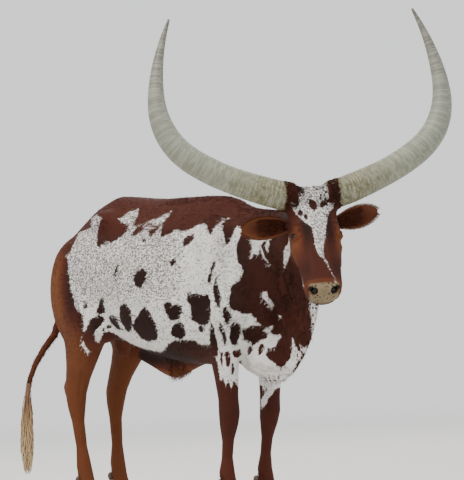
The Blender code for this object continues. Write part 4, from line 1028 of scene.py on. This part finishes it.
# The ears: share of the length, half height, depth of the cup and thickness of its middle
earSettings = {
    "root": Vector((-0.020, 0.092, -0.134)), "length": 0.212, "rim": 0.0016, "steps": 25, "rings": 6,
    "rootShade": 1.15,
    "aim": {"right": Vector((-0.16, 1.0, -0.03)).normalized(), "left": Vector((-0.16, 1.0, 0.20)).normalized()},
    "stations": (
        (0.00, 0.025, 0.030, 0.026), (0.10, 0.029, 0.032, 0.018), (0.20, 0.036, 0.034, 0.009),
        (0.34, 0.045, 0.034, 0.006), (0.50, 0.0488, 0.030, 0.005), (0.66, 0.046, 0.024, 0.004),
        (0.80, 0.037, 0.017, 0.004), (0.91, 0.023, 0.010, 0.003), (0.985, 0.008, 0.004, 0.0025),
    ),
}


def earPoint(word, side, share, halfHeight, depth, across, inner):  # a point of the cup, in the head's frame
    middle = earSettings["root"] + earSettings["aim"][word] * earSettings["length"] * share
    arch = 1 - across * across
    up = Vector((-0.25, 0, 1)).normalized() * halfHeight * across * (0.96 if inner >= 0 else 1)
    point = middle + up + Vector((max(inner, 0) - depth * arch, 0, 0))
    return headFrame() @ Vector((point.x, side * point.y, point.z))


def makeEar(word, side, material):
    settings = earSettings
    bm = bmesh.new()
    inside, cup = [], []
    shares = [2 * i / (settings["steps"] - 1) - 1 for i in range(settings["steps"])]  # across the cup
    edges = None
    for share, halfHeight, depth, thickness in curveThrough(settings["stations"], settings["rings"]):
        places = [earPoint(word, side, share, halfHeight, depth, across, -1) for across in shares]
        for across in reversed(shares):
            wall = settings["rim"] + (thickness - settings["rim"]) * (1 - across * across)
            places.append(earPoint(word, side, share, halfHeight, depth, across, wall))
        ring, edges = growRing(bm, places, edges)
        inside += [0.0] * len(shares) + [1.0] * len(shares)
        # painted shade in the cup, deepest at its middle near the root
        cup += [0.0] * len(shares) + [(1 - across**2) * (1 - share) * settings["rootShade"] for across in shares]
    bm.faces.new(ring)
    bmesh.ops.recalc_face_normals(bm, faces=bm.faces)
    ear = meshObject(f"ear_{word}_skin", bm, material)
    writeValues(ear.data, "inner", np.array(inside))
    writeValues(ear.data, "cup", np.array(cup))
    for name, value in zip(coatWords, (-12.0, 0.42, 0.0, 0.0, 0.0, 0.0)):
        writeValues(ear.data, name, np.full(len(ear.data.vertices), value))
    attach(ear, "root")
    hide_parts(f"ear_{word}")


# The eyes: a wet ball with a cornea that stands out over a dark brown iris
eyeSettings = {"fit": 0.985, "cornea": 0.00108, "iris": 0.0105, "gaze": Vector((0.55, 1.0, -0.05))}


def makeEye(word, side, material):
    settings = eyeSettings
    bm = bmesh.new()
    bmesh.ops.create_icosphere(bm, subdivisions=5, radius=headPlace["eyeRadius"] * settings["fit"])
    eye = meshObject(f"eye_{word}_ball", bm, material)
    points = pointsOf(eye.data)
    gaze = sided(settings["gaze"], side)
    up = (face.to_3x3() @ Vector((0.2, 0, 1))).normalized()
    across, above = points @ np.array(gaze.cross(up).normalized()), points @ np.array(up)
    ahead = points @ np.array(gaze)
    rise = settings["cornea"] * np.clip(1 - (np.hypot(across, above) / settings["iris"]) ** 2, 0, 1) * (ahead > 0)
    writeValues(eye.data, "eyeAcross", across * 1000)
    writeValues(eye.data, "eyeUp", above * 1000 + (ahead < 0) * 50)  # the back of the ball is all white
    lengths = np.linalg.norm(points, axis=1)
    setPoints(eye.data, points * ((lengths + rise) / lengths)[:, None] + np.array(eyeCentre(side)))
    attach(eye, "root")
    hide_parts(f"eye_{word}")


# The claws: growth lines run round the wall, level with the coronet
clawSettings = {
    "sides": 48, "steps": 5, "coronet": 0.0572, "slope": 0.36, "halfWidth": 0.0222, "lineDepth": 0.0005, "lines": 9,
    "stations": (  # share of the height, how far forward, half the length and plumpness
        (0.0, 0.0135, 0.0600, 0.955), (0.06, 0.0138, 0.0612, 1.00), (0.35, 0.0100, 0.0595, 1.01),
        (1.0, -0.002, 0.0480, 0.94),
    ),
}


def makeClaw(node, material):
    settings = clawSettings
    low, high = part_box(node)
    x, y = (low.x + high.x) / 2 - 0.014, (low.y + high.y) / 2
    bm = bmesh.new()
    edges = None
    for share, forward, halfLength, plump in curveThrough(settings["stations"], settings["steps"]):
        line = 0.5 + 0.5 * math.cos(2 * math.pi * share * settings["lines"])
        groove = settings["lineDepth"] * line * min(1, share * 8)
        places = []
        for i in range(settings["sides"]):
            angle = 2 * math.pi * i / settings["sides"]
            ahead = forward + (halfLength - groove) * math.cos(angle)
            taper = 1 - 0.22 * max(math.cos(angle), 0) ** 2
            across = (settings["halfWidth"] * plump * taper - groove) * math.sin(angle)
            top = settings["coronet"] + settings["slope"] * ahead
            places.append((x + ahead, y + across, max(share, 0) * top))
        ring, edges = growRing(bm, places, edges)
    bm.faces.new(ring)
    bmesh.ops.recalc_face_normals(bm, faces=bm.faces)
    claw = meshObject(f"{node}_wall", bm, material)
    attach(claw, "root")
    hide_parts(node)


def makeDewclaw(node, material):
    low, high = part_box(node)
    size = (high - low) / 2
    bm = bmesh.new()
    bmesh.ops.create_icosphere(bm, subdivisions=4, radius=1.0)
    for vertex in bm.verts:
        x, y, z = vertex.co
        inward = 0.94 * (1 - 0.25 * max(-z, 0))
        vertex.co = (low + high) / 2 + Vector((x * size.x * inward, y * size.y * 0.98, z * size.z * 0.98))
    dewclaw = meshObject(f"{node}_horn", bm, material)
    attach(dewclaw, "root")
    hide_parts(node)


# The tail's switch: many thin wavy locks round the end of the bone
switchSettings = {
    "locks": 150, "rings": 14, "top": 0.560, "bottom": 0.155, "width": 0.0050, "thickness": 0.0022,
    "spread": 0.028, "wave": 0.0045,
    "line": (
        (-0.775, -0.026, 0.886, 0.021), (-0.778, -0.055, 0.815, 0.0195), (-0.783, -0.115, 0.752, 0.018),
        (-0.790, -0.172, 0.676, 0.0165), (-0.797, -0.205, 0.600, 0.015), (-0.800, -0.218, 0.540, 0.015),
        (-0.801, -0.224, 0.460, 0.019), (-0.802, -0.228, 0.380, 0.017), (-0.803, -0.232, 0.270, 0.006),
        (-0.803, -0.233, 0.150, 0.004),
    ),
}


def tailAt(height):  # the middle of the tail at a height, and its radius there
    table = np.array(switchSettings["line"])
    rise = table[:, 2][::-1]
    x, y, radius = (np.interp(height, rise, table[:, i][::-1]) for i in (0, 1, 3))
    return Vector((x, y, height)) + shift, radius


def addLock(bm, points, width, thickness, facing):  # a flat lock that tapers to a point
    previous = None
    last = len(points) - 1
    for i, (point, along) in enumerate(zip(points, alongOf(points))):
        share = i / last
        swell = min(0.5 + 1.8 * share, 1.0) * (1 - share**3) + 0.05
        across = along.cross(facing).normalized()
        out = across.cross(along)
        corners = (across * width, out * thickness, -across * width, -out * thickness)
        ring = [bm.verts.new(point + corner * swell) for corner in corners]
        edges = [bm.edges.new((a, b)) for a, b in zip(ring, ring[1:] + ring[:1])]
        if previous is None:
            bm.faces.new(ring)
        else:
            for k in range(4):
                bm.faces.new((previous[k], previous[(k + 1) % 4], ring[(k + 1) % 4], ring[k]))
        previous = ring
    bm.faces.new(ring)


def makeSwitch(material):
    settings = switchSettings
    draw = random.Random(7)
    bm = bmesh.new()
    heights = np.linspace(0.585, 0.30, 20)
    places = [tailAt(height)[0] for height in heights]
    radii = [tailAt(height)[1] * (0.86 if height > 0.5 else 0.6) for height in heights]
    sweep(bm, list(zip(places, alongOf(places), radii)), 16)
    for i in range(settings["locks"]):
        turn = i * 2.4 + draw.uniform(-0.4, 0.4)
        out = Vector((math.cos(turn), math.sin(turn), 0))
        top = settings["top"] - 0.23 * (i / settings["locks"]) - draw.uniform(0, 0.03)
        bottom = settings["bottom"] + draw.uniform(0.0, 0.16) * draw.random()
        phase, rate = draw.uniform(0, 6.28), draw.uniform(16, 26)
        spread = settings["spread"] * draw.uniform(0.25, 1.05)
        points = []
        for k in range(settings["rings"]):
            share = k / (settings["rings"] - 1)
            middle, radius = tailAt(top + (bottom - top) * share)
            reach = radius * 0.55 * (1 - share) + spread * math.sin(math.pi * min(share * 0.72 + 0.08, 1))
            wave = settings["wave"] * math.sin(phase + rate * share) * min(1, share * 3)
            points.append(middle + out * (reach + 0.4 * wave) + Vector((-out.y, out.x, 0)) * wave)
        addLock(bm, points, settings["width"] * draw.uniform(0.6, 1.15), settings["thickness"], out)
    bmesh.ops.recalc_face_normals(bm, faces=bm.faces)
    switch = meshObject("tail_switch_locks", bm, material)
    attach(switch, "root")
    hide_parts("tail_switch")


# Tufts: thin spikes of three sides that leave the skin low and bend along the coat's lie
tuftSettings = {"patch": 0.003, "sink": 0.0012, "levels": (0.0, 0.45, 1.0), "share": 1.0}


def unit(vectors):
    return vectors / np.maximum(np.linalg.norm(vectors, axis=1), 1e-9)[:, None]


def makeGuide():  # an unwrap of the skin's own shape, which gives each tuft its patch
    copy = skin.copy()
    copy.data = skin.data.copy()
    bpy.context.scene.collection.objects.link(copy)
    copy.modifiers.new("thin", "DECIMATE").ratio = 14000 / (2 * len(skin.data.vertices))
    applyModifiers(copy)
    for other in bpy.context.selected_objects:
        other.select_set(False)
    bpy.context.view_layer.objects.active = copy
    copy.select_set(True)
    bpy.ops.object.mode_set(mode="EDIT")
    bpy.ops.mesh.select_all(action="SELECT")
    bpy.ops.mesh.quads_convert_to_tris()
    bpy.ops.uv.smart_project(angle_limit=math.radians(66), island_margin=0.002)
    bpy.ops.object.mode_set(mode="OBJECT")
    mesh = copy.data
    corners = np.array([p.vertices[:] for p in mesh.polygons])
    flat = np.empty(len(mesh.loops) * 2)
    mesh.uv_layers.active.data.foreach_get("uv", flat)
    made = {"corners": pointsOf(mesh)[corners], "flat": flat.reshape(-1, 3, 2)}
    made["tree"] = BVHTree.FromObject(copy, bpy.context.evaluated_depsgraph_get())
    bpy.data.objects.remove(copy)
    return made


def patchesAt(roots):
    found = [guide["tree"].find_nearest(Vector(root)) for root in roots]
    index = np.array([hit[2] for hit in found])
    places = np.array([tuple(hit[0]) for hit in found])
    a, b, c = guide["corners"][index].transpose(1, 0, 2)
    first, second, third = b - a, c - a, places - a
    d00, d01, d11 = (first * first).sum(1), (first * second).sum(1), (second * second).sum(1)
    d20, d21 = (third * first).sum(1), (third * second).sum(1)
    scale = np.maximum(d00 * d11 - d01 * d01, 1e-18)
    v, w = (d11 * d20 - d01 * d21) / scale, (d00 * d21 - d01 * d20) / scale
    flat = guide["flat"][index]
    return flat[:, 0] * (1 - v - w)[:, None] + flat[:, 1] * v[:, None] + flat[:, 2] * w[:, None]


def growTufts(name, material, roots, normals, lies, lengths, widths, lifts, values):
    count = len(roots)
    across = unit(np.cross(lies, normals))
    points = np.zeros((count, 7, 3))
    for level, share in enumerate(tuftSettings["levels"]):
        rise = lifts * (share - 0.62 * share**2) * 2
        middle = roots - normals * tuftSettings["sink"] + lies * (lengths * share)[:, None]
        middle = middle + normals * (lengths * rise)[:, None]
        if level == 2:
            points[:, 6] = middle
        else:
            half = widths * (1.0 if level == 0 else 0.82)
            points[:, level * 3] = middle + across * half[:, None]
            points[:, level * 3 + 1] = middle - across * half[:, None]
            points[:, level * 3 + 2] = middle + normals * (half * 0.7)[:, None]
    shape = [(2, 1, 0), (0, 1, 4, 3), (1, 2, 5, 4), (2, 0, 3, 5), (3, 4, 6), (4, 5, 6), (5, 3, 6)]
    flat = [((0, 0), (0.33, 0), (0.16, 0.1))]
    flat += [((i / 3, 0), ((i + 1) / 3, 0), ((i + 1) / 3, 0.5), (i / 3, 0.5)) for i in range(3)]
    flat += [((i / 3, 0.5), ((i + 1) / 3, 0.5), ((i + 0.5) / 3, 1)) for i in range(3)]
    loops = np.array([v for part in shape for v in part])
    sizes = np.array([len(part) for part in shape])
    uvs = np.array([uv for part in flat for uv in part]) - 0.5
    mesh = bpy.data.meshes.new(name)
    mesh.vertices.add(count * 7)
    mesh.loops.add(count * len(loops))
    mesh.polygons.add(count * len(shape))
    mesh.vertices.foreach_set("co", points.astype(np.float32).ravel())
    number = np.arange(count)[:, None]
    mesh.loops.foreach_set("vertex_index", (loops[None, :] + 7 * number).ravel().astype(np.int32))
    starts = np.concatenate([[0], np.cumsum(sizes)[:-1]])[None, :] + len(loops) * number
    mesh.polygons.foreach_set("loop_start", starts.ravel().astype(np.int32))
    mesh.polygons.foreach_set("use_smooth", [True] * (count * len(shape)))
    mesh.update(calc_edges=True)
    layer = mesh.uv_layers.new(name="OFBake")
    patches = patchesAt(roots) if guide else np.full((count, 2), 0.5)
    spread = patches[:, None, :] + uvs[None, :, :] * tuftSettings["patch"]
    layer.data.foreach_set("uv", spread.astype(np.float32).ravel())
    for word, numbers in values.items():
        writeValues(mesh, word, np.repeat(numbers, 7))
    mesh.validate()
    thing = bpy.data.objects.new(name, mesh)
    bpy.context.scene.collection.objects.link(thing)
    mesh.materials.append(material)
    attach(thing, "root")
    print(name, count, "tufts")


def scatter(count, weights, draw):  # places on the skin, by its area and a weight for each vertex
    mesh = skin.data
    mesh.calc_loop_triangles()
    corners = np.empty(len(mesh.loop_triangles) * 3, np.int32)
    mesh.loop_triangles.foreach_get("vertices", corners)
    corners = corners.reshape(-1, 3)
    points, normals = pointsOf(mesh), pointsOf(mesh, "normal")
    a, b, c = (points[corners[:, i]] for i in range(3))
    chance = np.linalg.norm(np.cross(b - a, c - a), axis=1) * weights[corners].mean(1)
    picked = draw.choice(len(corners), int(count * tuftSettings["share"]), p=chance / chance.sum())
    u, v = draw.random(len(picked)), draw.random(len(picked))
    flip = u + v > 1
    u, v = np.where(flip, 1 - u, u), np.where(flip, 1 - v, v)
    mix = np.stack([1 - u - v, u, v], axis=1)
    chosen = corners[picked]

    def blend(table):
        return (table[chosen] * mix.reshape(mix.shape + (1,) * (table.ndim - 1))).sum(1)

    return blend(points), unit(blend(normals)), blend


def lieOf(points, normals):  # which way the coat lies
    x, y, z = (points - np.array(shift)).T
    local = inFace(points)
    side = np.sign(y)
    lie = np.stack([np.full(len(x), -1.0), 0.10 * side, -0.35 - 0.5 * ease(0.6, 0.9, x)], axis=1)
    low = np.maximum(ease(0.86, 0.66, z), ease(-0.48, -0.60, x))[:, None]
    lie = toward(lie, np.array((-0.25, 0.0, -1.0)), low)
    onHead = (ease(-0.30, -0.20, local[:, 0]) * ease(0.06, 0.02, local[:, 2]))[:, None]
    down = -local[:, 2]
    faceLie = np.stack([-0.5 * ease(0.02, 0.10, np.abs(local[:, 1])), np.sign(local[:, 1]) * 0.45,
                        -1.0 * np.where(down < 0.10, -0.4, 1.0)], axis=1)
    faceLie = faceLie @ np.array(face.to_3x3()).T
    lie = toward(lie, faceLie, onHead)
    return unit(lie - normals * (lie * normals).sum(1)[:, None])


def swing(vectors, normals, angles):  # turns tangents about their normals
    side = np.cross(normals, vectors)
    return vectors * np.cos(angles)[:, None] + side * np.sin(angles)[:, None]


hornRoot = {"radius": 0.0615, "out": 0.09, "slope": 0.28}


def underHorn(points):  # where a horn covers the skin, so that no hair grows there
    tilt = headFrame(headPlace["hornLean"])
    local = (points - np.array(tilt.translation)) @ np.array(tilt.to_3x3())
    middle = hornRoot["slope"] * (np.abs(local[:, 1]) - hornRoot["out"])
    off = np.hypot(local[:, 0], local[:, 2] + 0.012 - middle)
    return (np.abs(local[:, 1]) > 0.074) & (off < hornRoot["radius"])


def coatOfTufts(material, marks):
    settings = {
        "body": (19000, (0.015, 0.024), 0.00125, 0.07), "flank": (19000, (0.015, 0.024), 0.00125, 0.07),
        "neck": (17000, (0.014, 0.024), 0.0012, 0.08), "head": (17000, (0.006, 0.011), 0.00075, 0.12),
        "legs": (17000, (0.008, 0.014), 0.0010, 0.08),
    }
    points = pointsOf(skin.data)
    x, y, z = (points - np.array(shift)).T
    local = inFace(points)
    head = ease(-0.31, -0.27, local[:, 0]) * ease(0.05, 0.03, local[:, 2])
    clear = (marks["dark"] < 0.2) * (marks["bare"] < 0.25) * ~underHorn(points) * (z > 0.060)
    legs = ease(0.74, 0.66, z)
    neck = ease(0.50, 0.62, x) * (1 - head)
    weights = {
        "body": (1 - head) * (1 - legs) * (1 - neck) * ease(-0.05, 0.05, x),
        "flank": (1 - head) * (1 - legs) * (1 - neck) * ease(0.05, -0.05, x),
        "neck": neck * (1 - legs), "head": head, "legs": legs * (1 - head),
    }
    for number, (part, (count, lengths, width, lift)) in enumerate(settings.items()):
        draw = np.random.default_rng(20 + number)
        roots, normals, blend = scatter(count, weights[part] * clear, draw)
        lies = swing(lieOf(roots, normals), normals, draw.normal(0, 0.20, len(roots)))
        size = draw.uniform(*lengths, len(roots))
        values = {word: blend(numbers) for word, numbers in marks.items()}
        values["pied"] = values["pied"] + draw.normal(0, 0.7, len(roots))
        flipped = draw.random(len(roots)) < 0.10 * values["roan"]
        values["pied"] = np.where(flipped, -np.abs(values["pied"]), values["pied"])
        growTufts(f"coat_{part}", material, roots, normals, lies, size, width * draw.uniform(0.7, 1.3, len(roots)),
                  lift * draw.uniform(0.5, 1.5, len(roots)), values)


def longTufts(material, marks):  # the places where longer hair breaks the outline
    places = (  # name, how many, lengths, half width, lift, where
        ("poll", 1700, (0.014, 0.025), 0.0009, 0.14),
        ("crest", 1600, (0.018, 0.030), 0.0011, 0.16),
        ("brisket", 2200, (0.016, 0.032), 0.0011, 0.14),
        ("sheath", 500, (0.024, 0.046), 0.0011, 0.20),
        ("fetlocks", 1500, (0.014, 0.030), 0.0009, 0.22),
        ("tail", 1800, (0.014, 0.030), 0.0009, 0.10),
    )
    points = pointsOf(skin.data)
    normals = pointsOf(skin.data, "normal")
    x, y, z = (points - np.array(shift)).T
    local = inFace(points)
    head = (local[:, 0] > -0.29) & (local[:, 2] < 0.05)
    where = {
        "poll": (np.abs(local[:, 1]) < 0.080) & (local[:, 2] > -0.075) & (local[:, 0] > -0.07) & (local[:, 2] < 0.06),
        "crest": ~head & (normals[:, 2] > 0.80) & (x > 0.1) & (x < 1.0) & (z > 1.1),
        "brisket": ~head & (x > 0.58) & (z < 1.12) & (z > 0.56) & (normals[:, 0] > -0.2)
        & ((normals[:, 0] > 0.80) | (normals[:, 2] < -0.35)),
        "sheath": (x > 0.0) & (x < 0.12) & (z < 0.70) & (np.abs(y) < 0.07) & (z > 0.5),
        "fetlocks": (z < 0.17) & (z > 0.062) & (normals[:, 0] < 0.15) | (z < 0.074) & (z > 0.060),
        "tail": (x < -0.71) & (z > 0.56),
    }
    clear = (marks["dark"] < 0.2) * (marks["bare"] < 0.25) * ~underHorn(points)
    for number, (part, count, lengths, width, lift) in enumerate(places):
        draw = np.random.default_rng(40 + number)
        chance = where[part] * clear
        if chance.sum() == 0:
            print("no place for", part)
            continue
        roots, outs, blend = scatter(count, chance, draw)
        lies = swing(lieOf(roots, outs), outs, draw.normal(0, 0.5 if part == "poll" else 0.30, len(roots)))
        values = {word: blend(numbers) for word, numbers in marks.items()}
        values["pied"] = values["pied"] + draw.normal(0, 0.8, len(roots))
        growTufts(f"hair_{part}", material, roots, outs, lies, draw.uniform(*lengths, len(roots)),
                  width * draw.uniform(0.7, 1.3, len(roots)), lift * draw.uniform(0.4, 1.6, len(roots)), values)


def edgeTufts(material):  # the fringes of the ears and the hair that lies on the roots of the horns
    draw = np.random.default_rng(60)
    rows = {"roots": [], "normals": [], "lies": [], "lengths": [], "pied": [], "tone": []}

    def add(root, normal, lie, length, pied, tone):
        normal = normal - lie * (normal @ lie)
        for word, entry in zip(rows, (root, normal / np.linalg.norm(normal), lie, length, pied, tone)):
            rows[word].append(entry)

    table = np.array(earSettings["stations"])
    for word, side in sides:
        for i in range(int(1300 * tuftSettings["share"])):
            share = 0.08 + 0.91 * draw.random()
            halfHeight, depth = (np.interp(share, table[:, 0], table[:, k]) for k in (1, 2))
            edge = -1 if draw.random() < 0.5 else 1
            root = earPoint(word, side, share, halfHeight, depth, edge * draw.uniform(0.93, 1.0), -1)
            further = earPoint(word, side, min(share + 0.12, 1.0), halfHeight, depth, edge, -1)
            centre = earPoint(word, side, share, halfHeight, depth, 0, -1)
            lie = (root - centre).normalized() * draw.uniform(0.3, 1.0)
            lie += (further - root).normalized() * draw.uniform(0.7, 1.3)
            ahead = headFrame().to_3x3() @ Vector((1, 0, 0))
            lie = (lie + ahead * draw.uniform(-0.25, 0.35)).normalized()
            pale = draw.random() < (0.40 if side > 0 else 0.0)
            add(np.array(root), np.array(ahead), np.array(lie), draw.uniform(0.008, 0.017), 8.0 if pale else -8.0, 0.75)
        for i in range(int(700 * tuftSettings["share"])):  # inside the cup, from its root outwards
            share, across = 0.10 + 0.50 * draw.random(), draw.uniform(-0.85, 0.85)
            halfHeight, depth, wall = (np.interp(share, table[:, 0], table[:, k]) for k in (1, 2, 3))
            root = earPoint(word, side, share, halfHeight, depth, across, wall * (1 - across**2))
            further = earPoint(word, side, share + 0.2, halfHeight, depth, across * 1.1, wall)
            ahead = headFrame().to_3x3() @ Vector((1, 0, 0))
            lie = ((further - root).normalized() + ahead * draw.uniform(0.0, 0.35)).normalized()
            add(np.array(root), np.array(ahead), np.array(lie), draw.uniform(0.014, 0.028), -8.0,
                draw.uniform(0.45, 0.75))
        tilt = headFrame(headPlace["hornLean"])
        for i in range(int(6000 * tuftSettings["share"])):
            angle, out = draw.uniform(0, 2 * math.pi), draw.uniform(0.064, 0.104)
            around = Vector((math.cos(angle), 0, math.sin(angle)))
            middle = Vector((0, side * out, -0.016 + hornRoot["slope"] * (out - hornRoot["out"])))
            root = tilt @ (middle + around * hornRoot["radius"])
            normal = tilt.to_3x3() @ around
            lie = (tilt.to_3x3() @ Vector((draw.normal(0, 0.3), side, 0.28 + draw.normal(0, 0.3)))).normalized()
            add(np.array(root), np.array(normal), np.array(lie), draw.uniform(0.010, 0.020), -8.0,
                draw.uniform(0.2, 0.5))
    table = {word: np.array(entries) for word, entries in rows.items()}
    count = len(table["lengths"])
    values = {"pied": table["pied"], "tone": table["tone"]}
    values.update({word: np.zeros(count) for word in ("roan", "coarse", "bare", "dark")})
    growTufts("hair_fringes", material, table["roots"], table["normals"], table["lies"], table["lengths"],
              np.where(table["tone"] > 0.5, 0.0008, 0.0018), np.full(count, 0.10), values)


skin = skinForm()
smoothSkin(skin)
shadeAndLidEdge = sculptSkin()
marks = markCoat(pointsOf(skin.data))
# the dark field: painted shade in the nostrils, along the mouth and round the eyes, with the lids' dark edge
marks["dark"] = shadeAndLidEdge
for word, numbers in marks.items():
    writeValues(skin.data, word, numbers)
skinCoat = coatMaterial("short cattle coat", True)
skin.data.materials.clear()
skin.data.materials.append(skinCoat)
skin.data.polygons.foreach_set("use_smooth", [True] * len(skin.data.polygons))
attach(skin, "root")
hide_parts(*skinSettings["flesh"])
print("skin shaped and marked")

hornKeratin, wetEye, hoofHorn = hornMaterial(), eyeMaterial(), clawMaterial()
earCoat, tailHair, tuftCoat = earMaterial(), switchMaterial(), coatMaterial("coat tufts", False)
for word, side in sides:
    makeHorn(word, side, hornKeratin)
    makeEar(word, side, earCoat)
    makeEye(word, side, wetEye)
for node in sorted(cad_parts):
    if node.startswith("claw"):
        makeClaw(node, hoofHorn)
    if node.startswith("dewclaw"):
        makeDewclaw(node, hoofHorn)
makeSwitch(tailHair)
print("horns, ears, eyes, claws and switch done")

guide = makeGuide()
coatOfTufts(tuftCoat, marks)
longTufts(tuftCoat, marks)
edgeTufts(tuftCoat)
print("coat done")
